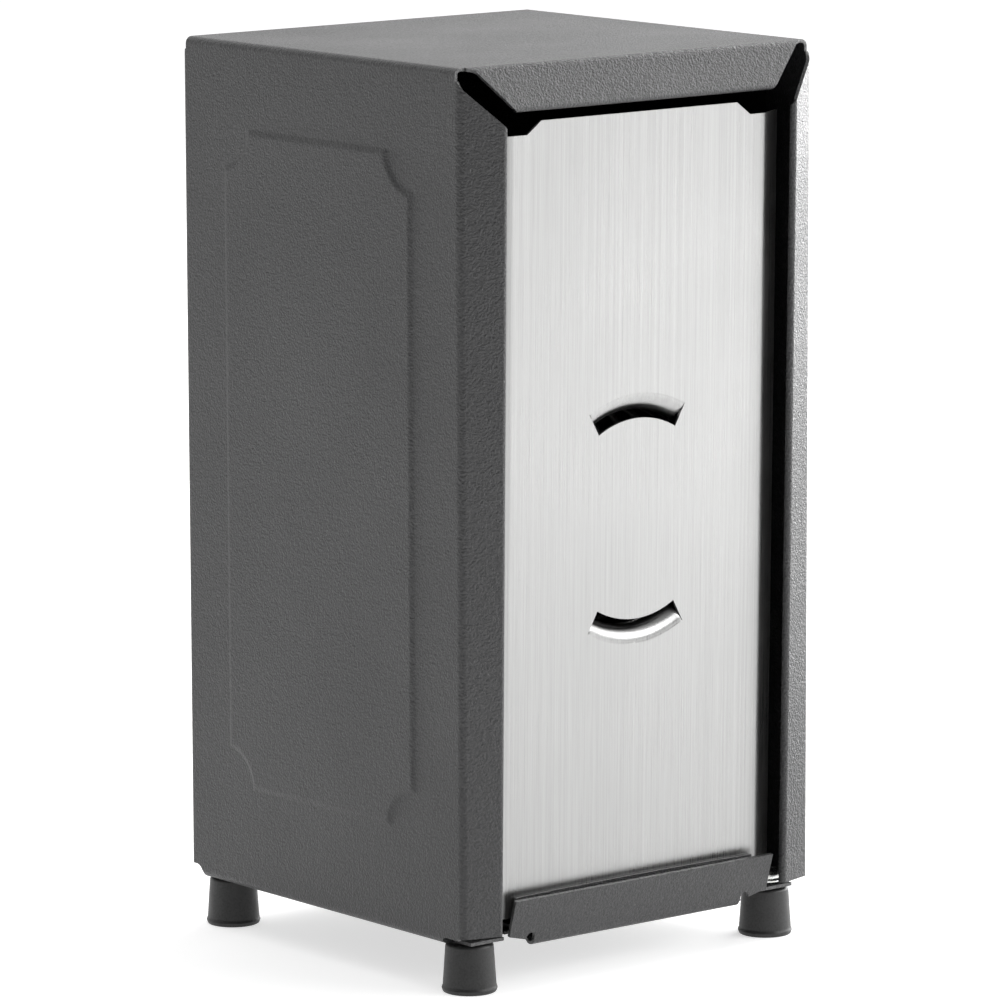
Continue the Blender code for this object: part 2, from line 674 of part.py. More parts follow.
def spring():
    """Coil spring between the faceplate and the seat on the back panel."""
    start = FRONT + PLATE_SETBACK + SPRING_CLEAR
    end = BACK_PANEL_Y - SHEET / 2 - GAP - PLATE_SHEET - GAP - WIRE_R
    closed = 2 * WIRE_R + GAP
    turns = 2 * TURNS_CLOSED + TURNS_ACTIVE
    pitch = (end - start - 2 * TURNS_CLOSED * closed) / TURNS_ACTIVE
    per_turn = 18
    curve = bpy.data.curves.new("spring", "CURVE")
    curve.dimensions = "3D"
    curve.bevel_depth = WIRE_R
    curve.bevel_resolution = 2
    curve.use_fill_caps = True
    spline = curve.splines.new("POLY")
    count = int(turns * per_turn) + 1
    spline.points.add(count - 1)
    for i, point in enumerate(spline.points):
        turn = i / per_turn
        slow = min(turn, TURNS_CLOSED) + max(0.0, turn - TURNS_CLOSED - TURNS_ACTIVE)
        y = start + slow * closed + (turn - slow) * pitch
        angle = -math.pi / 2 + math.tau * turn
        point.co = (SPRING_R * math.cos(angle), y, SPRING_R * math.sin(angle), 1.0)
    curve.materials.append(material("spring", (0.30, 0.30, 0.30), 0.35, 1.0))
    made = new_object("spring", curve, PARTS)
    made.location = (0.0, 0.0, SLOT_CENTRE_Z)
    return made


def spring_seat():
    """Pressed pan on the back panel that centres the spring's last turn."""
    rim, boss, bore = 0.0262, 0.0218, RIVET_HOLE_R
    rise, sheet, slope = 0.0026, PLATE_SHEET, 0.0008
    profile = [(bore, rise), (boss - slope, rise), (boss, sheet), (rim, sheet), (rim, 0.0),
               (boss - sheet / 2, 0.0), (boss - slope - sheet / 2, rise - sheet),
               (bore, rise - sheet)]
    seat = turned("spring_seat", profile, (POWDER_BLACK, 0.5, 0.0), steps=36)
    seat.rotation_euler = (math.pi / 2, 0.0, 0.0)
    seat.location = (0.0, BACK_PANEL_Y - SHEET / 2 - GAP, SLOT_CENTRE_Z)
    return seat


def rivet(name, grip, look=(ZINC, 0.35, 1.0)):
    """A rivet along local Z: domed head up, shank through the grip, flat tail below."""
    head_r, head_h, tail_r, tail_h = 0.0024, RIVET_HEAD_H, 0.0020, 0.0006
    low = -grip - GAP
    profile = [(0.0, GAP + head_h)]
    profile += [(head_r * math.sin(a), GAP + head_h * math.cos(a))
                for a in (math.radians(30), math.radians(60), math.radians(85))]
    profile += [(head_r, GAP), (RIVET_R, GAP), (RIVET_R, low), (tail_r, low),
                (tail_r * 0.85, low - tail_h), (0.0, low - tail_h)]
    return turned_solid(name, profile, look, steps=16)


def rivets():
    """The rivets that hold the panels, the tray, the stop and the spring seat."""
    for i, (x, z) in enumerate(BACK_RIVETS):
        made = rivet(f"back_rivet_{i + 1}", 2 * SHEET + GAP)
        made.rotation_euler = (-math.pi / 2, 0.0, 0.0)
        made.location = (x, BACK, z)
    for i, (x, y) in enumerate(HEM_RIVETS):
        made = rivet(f"base_rivet_{i + 1}", 2 * SHEET + GAP)
        made.rotation_euler = (math.pi, 0.0, 0.0)
        made.location = (x, y, HEM_Z)
    for i, (x, y) in enumerate(TRAY_RIVETS):
        made = rivet(f"tray_rivet_{i + 1}", 2 * SHEET + STOP_SHEET + 2 * GAP)
        made.rotation_euler = (math.pi, 0.0, 0.0)
        made.location = (x, y, HEM_Z)
    seat_top = 0.0026
    made = rivet("seat_rivet", seat_top + GAP + SHEET)
    made.rotation_euler = (-math.pi / 2, 0.0, 0.0)
    made.location = (0.0, BACK_PANEL_Y + SHEET / 2, SLOT_CENTRE_Z)


def foot_set(corner, x, y):
    """A rubber foot with the screw and washer that hold it under a hem."""
    flare, bore_z = 0.0008, 0.0030
    foot = turned_solid(f"foot_{corner}",
                        [(0.0, bore_z), (HOLE_R, bore_z), (HOLE_R, FOOT_TOP_Z),
                         (FOOT_TOP_R - 0.0004, FOOT_TOP_Z), (FOOT_TOP_R, FOOT_TOP_Z - 0.0004),
                         (FOOT_BASE_R - 0.0002, flare * 1.6), (FOOT_BASE_R, flare),
                         (FOOT_BASE_R - 0.0001, 0.0002), (FOOT_BASE_R - 0.0004, 0.0), (0.0, 0.0)],
                        (RUBBER, 0.65, 0.0), steps=28)
    washer_z, washer_h, washer_r = HEM_TOP_Z + GAP, 0.0005, 0.0038
    washer = turned(f"foot_washer_{corner}",
                    [(HOLE_R, washer_h), (washer_r, washer_h), (washer_r, 0.0), (HOLE_R, 0.0)],
                    (ZINC, 0.35, 1.0))
    head_z = washer_z + washer_h + GAP
    head_r, head_h = 0.0037, 0.0018
    screw = turned_solid(f"foot_screw_{corner}",
                         [(0.0, head_z + head_h), (head_r * 0.55, head_z + head_h * 0.95),
                          (head_r * 0.88, head_z + head_h * 0.75),
                          (head_r, head_z + head_h * 0.40), (head_r, head_z),
                          (BOLT_R, head_z), (BOLT_R, bore_z + 0.0010),
                          (BOLT_R - 0.0005, bore_z + GAP), (0.0, bore_z + GAP)],
                         (ZINC, 0.3, 1.0))
    foot.location = (x, y, 0.0)
    screw.location = (x, y, 0.0)
    washer.location = (x, y, washer_z)


case_shell()
back_panel()
base_panel()
tray()
napkin_stop()
faceplate()
spring()
spring_seat()
rivets()
for corner_name, (foot_x, foot_y) in FEET.items():
    foot_set(corner_name, foot_x, foot_y)
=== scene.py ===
"""Looks of the napkin dispenser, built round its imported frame.

Metres, +Z up, the front faces -Y. Every fold, hole and fastening is where the frame has it.
"""

import math

import bmesh
import bpy
from mathutils import Matrix, Vector


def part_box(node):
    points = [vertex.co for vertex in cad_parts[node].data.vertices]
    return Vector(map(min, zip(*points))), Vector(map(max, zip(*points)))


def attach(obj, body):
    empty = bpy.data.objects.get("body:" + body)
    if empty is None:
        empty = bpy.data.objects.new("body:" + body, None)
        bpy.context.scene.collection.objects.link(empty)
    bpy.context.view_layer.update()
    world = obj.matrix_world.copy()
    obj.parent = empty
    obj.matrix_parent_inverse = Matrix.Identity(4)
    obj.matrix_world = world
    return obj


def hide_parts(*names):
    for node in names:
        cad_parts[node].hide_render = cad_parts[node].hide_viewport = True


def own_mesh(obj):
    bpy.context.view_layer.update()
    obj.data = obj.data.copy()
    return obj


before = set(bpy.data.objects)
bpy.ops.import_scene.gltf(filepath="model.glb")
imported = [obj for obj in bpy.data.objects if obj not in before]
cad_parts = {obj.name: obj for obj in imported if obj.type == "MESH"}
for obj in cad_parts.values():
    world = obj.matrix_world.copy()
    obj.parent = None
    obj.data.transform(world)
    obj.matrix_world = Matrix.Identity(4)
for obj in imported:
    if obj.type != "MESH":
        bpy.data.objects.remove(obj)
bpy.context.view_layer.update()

# ---- sizes of the sheet work, the same as the frame's -------------------------------------
SHEET = 0.0007
GAP = 0.0003
CASE_D = 0.0925          # front folds to back face
PANEL_RISE = 0.00055     # the raised side panels stand this far out

LIP_OUT_TOP = 0.0054     # how far the side flanges lean out, at the top
LIP_OUT_BOTTOM = 0.0026  # and at the bottom
LIP_INSET = 0.0091       # width of the side flanges, seen from the front
VISOR_OUT = 0.0032
VISOR_DROP = 0.00945
RETURN = 0.0016          # edge of every lip turned back inside
RETURN_R = 0.00085
FOLD_START = 0.0013      # sheet taken by half a fold
TOP_R = 0.0015
HEM_R = 0.0018
HEM = 0.0120
REAR_FLANGE = 0.0105
SLOT_R = 0.0025          # round end of the mitre slots
SLOT_EDGE = 0.0001
FLANGE_RISE = 0.0020     # the flanges end this far above the hems
NOTCH_X = 0.0438         # corner reliefs in the lower side folds start this far out
NOTCH_OVERRUN = 0.006    # their cutters run on past the sheet by this much
NOTCH_SKIN = 0.0004      # metal left between the front ones and the flanges
NOTCH_FRONT = 0.0070
NOTCH_FRONT_R = 0.0016
NOTCH_BACK = 0.0042
NOTCH_BACK_R = 0.0022
NOTCH_BACK_RISE = 0.00265

PANEL_FRONT = 0.0147
PANEL_BACK = 0.0783
PANEL_LOW_Z = 0.0322
PANEL_HIGH_Z = 0.1728
PANEL_SCOOP = 0.0081
PANEL_SLOPE = 0.0015

BASE_EAR = 0.0138        # the base is narrower near its ends
BASE_END_HALF = 0.0345

TRAY_HALF = 0.0280       # catch tray
TRAY_FLOOR = 0.0022
TRAY_STEP = 0.0044
TRAY_FOOT = 0.0130
WALL_HALF = 0.0350
WALL_EAR_Z = 0.0114
WALL_OUT_TOP = 0.0026
WALL_OUT_BOTTOM = -0.0004
TRAY_RELIEF_X = 0.0292
TRAY_RELIEF_R = 0.0011
STOP_SHEET = 0.0006      # napkin stop
STOP_FOOT = 0.0095
STOP_BOW = 0.0003

PLATE_SHEET = 0.0006
PLATE_HALF = 0.0343
PLATE_EAR_HALF = 0.02985
PLATE_TAB_HALF = 0.0262
PLATE_BOTTOM_Z = 0.0147
PLATE_EAR_Z = 0.1761
PLATE_TAB_Z = 0.1788
PLATE_LEAN = 0.0155      # radians
PLATE_SETBACK = 0.0007
WING_OUT = 0.0055
WING_BACK = 0.0029
SLOT_CENTRE_Z = 0.09445
ARC_OUTER = 0.0262
ARC_INNER = 0.0210
ARC_HALF_ANGLE = math.radians(29.3)
CURL_R = 0.0039
CURL_ANGLE = math.radians(75)
CURL_SHEET = 0.0005

SPRING_R = 0.0234
WIRE_R = 0.0007
TURNS_CLOSED = 1.0
TURNS_ACTIVE = 9.0

BOLT_R = 0.0019
HOLE_R = BOLT_R + GAP
RIVET_R = 0.0013
RIVET_HOLE_R = RIVET_R + GAP
RIVET_HEAD_R = 0.0024
RIVET_HEAD_H = 0.0008
RIVET_TAIL_R = 0.0020
RIVET_TAIL_H = 0.0006
SEAT_RIM = 0.0262        # spring seat
SEAT_BOSS = 0.0218
SEAT_SLOPE = 0.0008
FOOT_TOP_R = 0.00495
FOOT_BORE_Z = 0.0030
FOOT_FLARE = 0.0008
EDGE_BREAK = 0.00010     # the sharpness taken off sheet edges
CORNERS = ("front_left", "front_right", "rear_left", "rear_right")

FOLD_STEPS = 9           # facets in the round of a fold
FINE = 0.00035           # mesh steps across the raised panels' edges
COARSE = 0.009           # and over plain sheet

# ---- places read from the frame -----------------------------------------------------------
SHELL_LOW, SHELL_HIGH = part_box("case_shell")
BASE_LOW, BASE_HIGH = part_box("base_panel")
TRAY_LOW, TRAY_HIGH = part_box("tray")
STOP_LOW, STOP_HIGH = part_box("napkin_stop")
BACK_LOW, BACK_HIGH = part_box("back_panel")
SEAT_LOW, SEAT_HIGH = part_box("spring_seat")
SPRING_LOW, SPRING_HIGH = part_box("spring")

HALF_W = SHELL_HIGH.x - PANEL_RISE
TOP_Z = SHELL_HIGH.z
BACK = SHELL_HIGH.y
FRONT = BACK - CASE_D
HEM_Z = SHELL_LOW.z
TRAY_FLOOR_Z = TRAY_LOW.z
FLANGE_BOTTOM_Z = HEM_Z + FLANGE_RISE
SLOT_Z = TOP_Z - SLOT_R - SLOT_EDGE
SLOT_X = HALF_W - SLOT_R - SLOT_EDGE
CASE_BODY = "case"
PUSHER_BODY = "pusher"

scene = bpy.context.scene


def middle(node):
    """The centre of a node's box."""
    low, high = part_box(node)
    return (low + high) / 2


# ---- camera, floor and light --------------------------------------------------------------
CAMERA_YAW = math.radians(39.19)
CAMERA_PITCH = math.radians(-9.487)
CAMERA_ROLL = math.radians(-0.198)
CAMERA_DISTANCE = 1.3989
CAMERA_LENS = 238.23
CAMERA_TARGET = Vector((0.00054, (FRONT + BACK) / 2 - 0.00044, 0.0925))


BEHIND = (0.63, 0.776, 0.0)  # horizontally, from the camera past the case
WORLD_FRONT = 0.04       # strength of the surroundings on the camera's side
WORLD_BEHIND = 1.20      # and behind the case
FLOOR_GLOW = 0.60        # the floor is lit from below, as a light table is

# name, place, aim, size and power of each softbox
LIGHTS = (
    ("right_softbox", (1.25, 0.28, 0.35), (0.0, 0.0, 0.10), (0.9, 1.2), 30.0),
    ("front_softbox", (0.95, -1.15, 0.82), (0.0, 0.0, 0.10), (1.2, 0.8), 14.0),
    ("near_panel", (0.415, -0.222, 0.11), (0.0, -0.04, 0.09), (0.34, 0.5), 0.75),
    ("top_softbox", (-0.1, 0.25, 1.35), (0.0, 0.0, 0.1), (1.4, 1.4), 5.0),
)


def add_camera():
    """A long lens a little above the case, looking at its left front corner."""
    data = bpy.data.cameras.new("camera")
    data.lens = CAMERA_LENS
    data.sensor_width = 36.0
    camera = bpy.data.objects.new("camera", data)
    scene.collection.objects.link(camera)
    turn = Matrix.Rotation(-CAMERA_YAW, 4, "Z")
    tip = Matrix.Rotation(math.pi / 2 + CAMERA_PITCH, 4, "X")
    roll = Matrix.Rotation(CAMERA_ROLL, 4, "Z")
    aim = turn @ tip @ roll
    backwards = aim.to_3x3() @ Vector((0, 0, 1))
    camera.matrix_world = Matrix.Translation(CAMERA_TARGET + backwards * CAMERA_DISTANCE) @ aim
    scene.camera = camera


def add_light(name, place, target, size, power):
    """A soft rectangular light aimed at a point."""
    data = bpy.data.lights.new(name, "AREA")
    data.shape = "RECTANGLE"
    data.size, data.size_y = size
    data.energy = power
    light = bpy.data.objects.new(name, data)
    light.location = place
    direction = Vector(target) - Vector(place)
    light.rotation_euler = direction.to_track_quat("-Z", "Y").to_euler()
    light.visible_camera = False
    scene.collection.objects.link(light)


def add_world():
    """White surroundings, brighter behind the object than on the viewer's side."""
    world = bpy.data.worlds.new("studio")
    world.use_nodes = True
    scene.world = world
    tree = world.node_tree
    place = tree.nodes.new("ShaderNodeTexCoord")
    behind = tree.nodes.new("ShaderNodeVectorMath")
    behind.operation = "DOT_PRODUCT"
    behind.inputs[1].default_value = BEHIND
    fade = tree.nodes.new("ShaderNodeMapRange")
    fade.inputs["From Min"].default_value = -1.0
    fade.inputs["From Max"].default_value = 1.0
    fade.inputs["To Min"].default_value = WORLD_FRONT
    fade.inputs["To Max"].default_value = WORLD_BEHIND
    tree.links.new(place.outputs["Generated"], behind.inputs[0])
    tree.links.new(behind.outputs["Value"], fade.inputs["Value"])
    tree.links.new(fade.outputs["Result"], tree.nodes["Background"].inputs["Strength"])
    tree.nodes["Background"].inputs["Color"].default_value = (1.0, 1.0, 1.0, 1.0)


def add_floor():
    """A plain pale floor."""
    bm = bmesh.new()
    bmesh.ops.create_grid(bm, x_segments=1, y_segments=1, size=8.0)
    mesh = bpy.data.meshes.new("floor")
    bm.to_mesh(mesh)
    bm.free()
    floor = bpy.data.objects.new("floor", mesh)
    scene.collection.objects.link(floor)
    look = bpy.data.materials.new("floor")
    look.use_nodes = True
    shader = look.node_tree.nodes["Principled BSDF"]
    shader.inputs["Base Color"].default_value = (0.70, 0.70, 0.70, 1.0)
    shader.inputs["Roughness"].default_value = 0.9
    shader.inputs["Specular IOR Level"].default_value = 0.1
    shader.inputs["Emission Color"].default_value = (1.0, 1.0, 1.0, 1.0)
    shader.inputs["Emission Strength"].default_value = FLOOR_GLOW
    mesh.materials.append(look)


# ---- materials ----------------------------------------------------------------------------
class Look:
    """A node material: its Principled shader, and short ways to feed it."""

    def __init__(self, name, **values):
        self.material = bpy.data.materials.new(name)
        self.material.use_nodes = True
        self.tree = self.material.node_tree
        self.shader = self.tree.nodes["Principled BSDF"]
        for socket, value in values.items():
            self.shader.inputs[socket.replace("_", " ")].default_value = value
        self.place = self.node("ShaderNodeTexCoord").outputs["Object"]

    def node(self, kind, **inputs):
        """A new node with some of its inputs set."""
        made = self.tree.nodes.new(kind)
        for socket, value in inputs.items():
            made.inputs[socket.replace("_", " ")].default_value = value
        return made

    def link(self, output, target):
        """Joins an output to an input."""
        self.tree.links.new(output, target)

    def noise(self, scale, detail=2.0, roughness=0.5, stretch=(1.0, 1.0, 1.0)):
        """Noise over the piece, in blobs of about 1 / scale metres, stretched along its axes."""
        mapping = self.node("ShaderNodeMapping")
        mapping.inputs["Scale"].default_value = stretch
        self.link(self.place, mapping.inputs["Vector"])
        noise = self.node("ShaderNodeTexNoise", Scale=scale, Detail=detail, Roughness=roughness)
        self.link(mapping.outputs["Vector"], noise.inputs["Vector"])
        return noise.outputs["Fac"]

    def spread(self, source, low, high, start=0.3, end=0.7):
        """A value that runs from low to high as the source goes from start to end."""
        made = self.node("ShaderNodeMapRange")
        made.inputs["From Min"].default_value = start
        made.inputs["From Max"].default_value = end
        made.inputs["To Min"].default_value = low
        made.inputs["To Max"].default_value = high
        self.link(source, made.inputs["Value"])
        return made.outputs["Result"]

    def colours(self, source, dark, light, start=0.3, end=0.7):
        """Feeds the base colour with a mix of two colours."""
        ramp = self.node("ShaderNodeValToRGB")
        ramp.color_ramp.elements[0].position = start
        ramp.color_ramp.elements[0].color = (*dark, 1.0)
        ramp.color_ramp.elements[1].position = end
        ramp.color_ramp.elements[1].color = (*light, 1.0)
        self.link(source, ramp.inputs["Fac"])
        self.link(ramp.outputs["Color"], self.shader.inputs["Base Color"])

    def add(self, first, second, share):
        """The first value plus a share of the second."""
        made = self.node("ShaderNodeMath")
        made.operation = "MULTIPLY_ADD"
        made.inputs[1].default_value = share
        self.link(second, made.inputs[0])
        self.link(first, made.inputs[2])
        return made.outputs["Value"]

    def roughness(self, source):
        """Feeds the roughness."""
        self.link(source, self.shader.inputs["Roughness"])

    def bump(self, height, depth, strength=1.0):
        """Relief of a real depth in metres."""
        bump = self.node("ShaderNodeBump", Strength=strength, Distance=depth)
        self.link(height, bump.inputs["Height"])
        self.link(bump.outputs["Normal"], self.shader.inputs["Normal"])


def powder_coat(name, dark, light, gloss):
    """Baked powder coat: fine pebbles, a little uneven in sheen."""
    look = Look(name, Metallic=0.0, Specular_IOR_Level=0.7)
    pebbles = look.noise(2100.0, detail=2.0, roughness=0.55)
    swirl = look.noise(800.0, detail=1.0)
    smudge = look.noise(22.0, detail=3.0)
    look.colours(pebbles, dark, light, 0.34, 0.66)
    sheen = look.spread(pebbles, gloss + 0.07, gloss - 0.05)
    look.roughness(look.add(sheen, look.spread(smudge, -0.04, 0.04), 1.0))
    look.bump(look.add(pebbles, swirl, 0.5), 0.00026, 1.0)
    return look.material


def brushed_steel():
    """Brushed stainless sheet with its grain up and down."""
    look = Look("brushed_plate", Metallic=1.0, Anisotropic=0.55)
    grain = look.noise(1.0, detail=3.0, roughness=0.7, stretch=(9000.0, 9000.0, 34.0))
    bands = look.noise(1.0, detail=2.0, stretch=(1900.0, 1900.0, 5.0))
    smudge = look.noise(28.0, detail=3.0)
    mixed = look.add(grain, bands, 0.5)
    look.colours(mixed, (0.33, 0.33, 0.327), (0.42, 0.42, 0.417), 0.55, 0.95)
    sheen = look.spread(grain, 0.24, 0.38)
    look.roughness(look.add(sheen, look.spread(smudge, -0.03, 0.03), 1.0))
    look.bump(grain, 0.00002, 0.6)
    return look.material


def bare_edge():
    """The sawn-off look of a brushed sheet's cut edge."""
    look = Look("plate_edge", Metallic=1.0)
    nicks = look.noise(3800.0, detail=2.0)
    look.colours(nicks, (0.62, 0.62, 0.61), (0.88, 0.88, 0.87))
    look.roughness(look.spread(nicks, 0.22, 0.40))
    look.bump(nicks, 0.00001, 0.4)
    return look.material


def drawn_wire():
    """Oiled spring wire with faint draw lines."""
    look = Look("spring_wire", Metallic=1.0)
    lines = look.noise(1600.0, detail=2.0, roughness=0.6)
    look.colours(lines, (0.16, 0.155, 0.15), (0.36, 0.355, 0.35))
    look.roughness(look.spread(lines, 0.26, 0.42))
    look.bump(lines, 0.00001, 0.4)
    return look.material


def moulded_rubber():
    """Black moulded rubber with a fine matt skin."""
    look = Look("foot_rubber", Metallic=0.0)
    skin = look.noise(2200.0, detail=3.0, roughness=0.6)
    dust = look.noise(260.0, detail=3.0)
    look.colours(look.add(skin, dust, 0.8), (0.006, 0.006, 0.006), (0.022, 0.022, 0.022), 0.6, 1.2)
    look.roughness(look.spread(dust, 0.42, 0.58))
    look.bump(skin, 0.00005, 0.5)
    return look.material


def bright_zinc():
    """Bright zinc plate with a slight blue and yellow cast."""
    look = Look("bright_zinc", Metallic=1.0)
    cast = look.noise(420.0, detail=2.0)
    marks = look.noise(5200.0, detail=2.0)
    look.colours(cast, (0.66, 0.66, 0.62), (0.78, 0.80, 0.82))
    look.roughness(look.spread(marks, 0.18, 0.34))
    look.bump(marks, 0.000008, 0.4)
    return look.material


COAT = powder_coat("case_coat", (0.009, 0.009, 0.010), (0.026, 0.026, 0.027), 0.42)
# Coat of the cut sheet edges, lighter than the faces: partly worn coat, partly a painted highlight
# where the edges catch the light.
COAT_EDGE_WEAR_AND_HIGHLIGHT = powder_coat("case_coat_edge_wear_and_highlight", (0.030, 0.030, 0.031), (0.095, 0.095, 0.095), 0.30)
RIVET_COAT = powder_coat("rivet_coat", (0.024, 0.024, 0.025), (0.060, 0.060, 0.061), 0.40)
BRUSHED = brushed_steel()
PLATE_EDGE = bare_edge()
WIRE = drawn_wire()
RUBBER = moulded_rubber()
ZINC = bright_zinc()


# ---- mesh tools ---------------------------------------------------------------------------
def finish_mesh(name, bm):
    """A mesh from a bmesh."""
    mesh = bpy.data.meshes.new(name)
    bm.to_mesh(mesh)
    bm.free()
    return mesh


def new_object(name, mesh):
    """An object for a mesh."""
    made = bpy.data.objects.new(name, mesh)
    scene.collection.objects.link(made)
    return made


def apply_modifiers(made):
    """Turns an object's modifiers into plain mesh."""
    bpy.context.view_layer.update()
    evaluated = made.evaluated_get(bpy.context.evaluated_depsgraph_get())
    mesh = bpy.data.meshes.new_from_object(evaluated)
    made.modifiers.clear()
    made.data = mesh
    return made


def boolean(target, tool, operation="DIFFERENCE"):
    """Cuts a tool from an object, or joins it on, and throws the tool away."""
    modifier = target.modifiers.new("boolean", "BOOLEAN")
    modifier.operation = operation
    modifier.solver = "EXACT"
    modifier.object = tool
    apply_modifiers(target)
    bpy.data.objects.remove(tool, do_unlink=True)


def solidify(made, thickness):
    """Gives an open surface its sheet thickness; the cut edges take the second material."""
    modifier = made.modifiers.new("sheet", "SOLIDIFY")
    modifier.thickness = thickness
    modifier.offset = -1.0
    modifier.use_even_offset = True
    modifier.material_offset_rim = 1
    apply_modifiers(made)


def break_edges(made, width, angle=50.0, segments=2):
    """Takes the sharpness off an object's edges."""
    modifier = made.modifiers.new("edges", "BEVEL")
    modifier.width = width
    modifier.segments = segments
    modifier.limit_method = "ANGLE"
    modifier.angle_limit = math.radians(angle)
    modifier.use_clamp_overlap = True
    modifier.harden_normals = False
    apply_modifiers(made)


def smooth(made, angle=32.0):
    """Smooth shading up to an angle."""
    made.data.shade_smooth()
    made.data.set_sharp_from_angle(angle=math.radians(angle))
    modifier = made.modifiers.new("normals", "WEIGHTED_NORMAL")
    modifier.keep_sharp = True
    modifier.weight = 100
    apply_modifiers(made)


def piece(made, node, materials, body=CASE_BODY, shade=32.0):
    """Makes an object stand for a node of the frame."""
    if not made.data.materials:
        for material in materials:
            made.data.materials.append(material)
    smooth(made, shade)
    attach(made, body)
    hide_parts(node)
    return made


def arc(centre, radius, start, end, steps):
    """Points on an arc, from one angle to another, in radians."""
    angles = [start + (end - start) * i / steps for i in range(steps + 1)]
    return [(centre[0] + radius * math.cos(a), centre[1] + radius * math.sin(a)) for a in angles]


def circle(centre, radius, steps):
    """Points round a circle."""
    return arc(centre, radius, 0.0, math.tau * (steps - 1) / steps, steps - 1)


def rounded_rectangle(low, high, radius, steps=8):
    """A rectangle with round corners, anticlockwise from its lower left corner."""
    corners = [((low[0], low[1]), 1, 1, math.pi), ((high[0], low[1]), -1, 1, 1.5 * math.pi),
               ((high[0], high[1]), -1, -1, 0.0), ((low[0], high[1]), 1, -1, 0.5 * math.pi)]
    outline = []
    for (x, y), sx, sy, start in corners:
        centre = (x + sx * radius, y + sy * radius)
        outline += arc(centre, radius, start, start + math.pi / 2, steps)
    return outline


def prism(name, loops, thickness):
    """A flat outline, with any holes after it, filled and given thickness about local z = 0."""
    curve = bpy.data.curves.new(name, "CURVE")
    curve.dimensions = "2D"
    curve.fill_mode = "BOTH"
    curve.extrude = thickness / 2
    for loop in loops:
        spline = curve.splines.new("POLY")
        spline.points.add(len(loop) - 1)
        for point, (x, y) in zip(spline.points, loop):
            point.co = (x, y, 0.0, 1.0)
        spline.use_cyclic_u = True
    guide = new_object(name + "_curve", curve)
    bpy.context.view_layer.update()
    evaluated = guide.evaluated_get(bpy.context.evaluated_depsgraph_get())
    bm = bmesh.new()
    bm.from_mesh(bpy.data.meshes.new_from_object(evaluated))
    bpy.data.objects.remove(guide, do_unlink=True)
    bmesh.ops.remove_doubles(bm, verts=bm.verts, dist=1e-6)
    bmesh.ops.recalc_face_normals(bm, faces=bm.faces)
    return new_object(name, finish_mesh(name, bm))


def face_y(made, place):
    """Stands a prism up: its outline lies in X and Z, its thickness along Y."""
    made.rotation_euler = (math.pi / 2, 0.0, 0.0)
    made.location = place


def cylinders(places, radius, depth, axis, segments=32):
    """A cutter made of separate cylinders along an axis."""
    bm = bmesh.new()
    turn = Vector((0, 0, 1)).rotation_difference(Vector(axis)).to_matrix().to_4x4()
    for place in places:
        made = bmesh.ops.create_cone(bm, cap_ends=True, segments=segments, radius1=radius,
                                     radius2=radius, depth=depth, matrix=turn)
        bmesh.ops.translate(bm, verts=made["verts"], vec=place)
    return new_object("cylinders", finish_mesh("cylinders", bm))


def lathe(name, profile, steps=48):
    """A turned solid: a profile of (radius, z) down its outer side, about local Z."""
    bm = bmesh.new()
    rings = []
    for r, z in profile:
        if r == 0.0:
            rings.append([bm.verts.new((0.0, 0.0, z))] * steps)
        else:
            rings.append([bm.verts.new((r * math.cos(math.tau * i / steps),
                                        r * math.sin(math.tau * i / steps), z))
                          for i in range(steps)])
    closed = profile[0][0] != 0.0
    for upper, lower in zip(rings, rings[1:] + (rings[:1] if closed else [])):
        for i in range(steps):
            j = (i + 1) % steps
            corners = [upper[i], lower[i], lower[j], upper[j]]
            kept = [v for k, v in enumerate(corners) if v not in corners[:k]]
            bm.faces.new(kept)
    bmesh.ops.recalc_face_normals(bm, faces=bm.faces)
    return new_object(name, finish_mesh(name, bm))


def round_over(corner, before, after, length, steps=5):
    """The round of a corner: it starts `length` before the corner and ends `length` after it."""
    before = Vector(before).normalized()
    after = Vector(after).normalized()
    corner = Vector(corner)
    turn = before.angle(after)
    radius = length / math.tan(turn / 2)
    start = corner - before * length
    towards = (after - before * after.dot(before)).normalized()
    points = []
    for i in range(steps + 1):
        a = turn * i / steps
        points.append(start + before * radius * math.sin(a) + towards * radius * (1 - math.cos(a)))
    return points


def rounded_profile(points, lengths, steps=5):
    """A profile with its inner corners rounded; a length of 0 keeps a corner sharp."""
    vectors = [Vector(p) for p in points]
    made = [vectors[0]]
    for i in range(1, len(vectors) - 1):
        if lengths[i] == 0.0:
            made.append(vectors[i])
        else:
            before = vectors[i] - vectors[i - 1]
            after = vectors[i + 1] - vectors[i]
            made += round_over(vectors[i], before, after, lengths[i], steps)
    made.append(vectors[-1])
    return [(p.x, p.y) for p in made]


def grid(bm, rows):
    """Quads between rows of vertices."""
    for upper, lower in zip(rows, rows[1:]):
        for i in range(len(upper) - 1):
            bm.faces.new((upper[i], upper[i + 1], lower[i + 1], lower[i]))


def steps_between(low, high, close, fine, coarse):
    """Positions from low to high, close together inside the close spans."""
    marks = sorted({low, high, *[edge for span in close for edge in span]})
    made = [low]
    for a, b in zip(marks, marks[1:]):
        inside = any(start <= (a + b) / 2 <= end for start, end in close)
        count = max(1, math.ceil((b - a) / (fine if inside else coarse)))
        made += [a + (b - a) * i / count for i in range(1, count + 1)]
    return made


# ---- the wrapped case ---------------------------------------------------------------------
def lip_profile(width, out):
    """A flange as (inset, forward): its fold, its flat and the edge turned back inside."""
    tip = Vector((width, out))
    back = Vector((0.0, -1.0))
    first = round_over((0.0, 0.0), (0.0, 1.0), tip, FOLD_START, FOLD_STEPS)
    turn = tip.angle(back)
    last = round_over(tip, tip, back, RETURN_R * math.tan(turn / 2), FOLD_STEPS)
    return first + last + [tip + back * RETURN]


def flat_flange_profile(width):
    """A flange folded square, as (inset, outward)."""
    first = round_over((0.0, 0.0), (0.0, 1.0), (1.0, 0.0), FOLD_START, FOLD_STEPS)
    return first + [Vector((width, 0.0))]


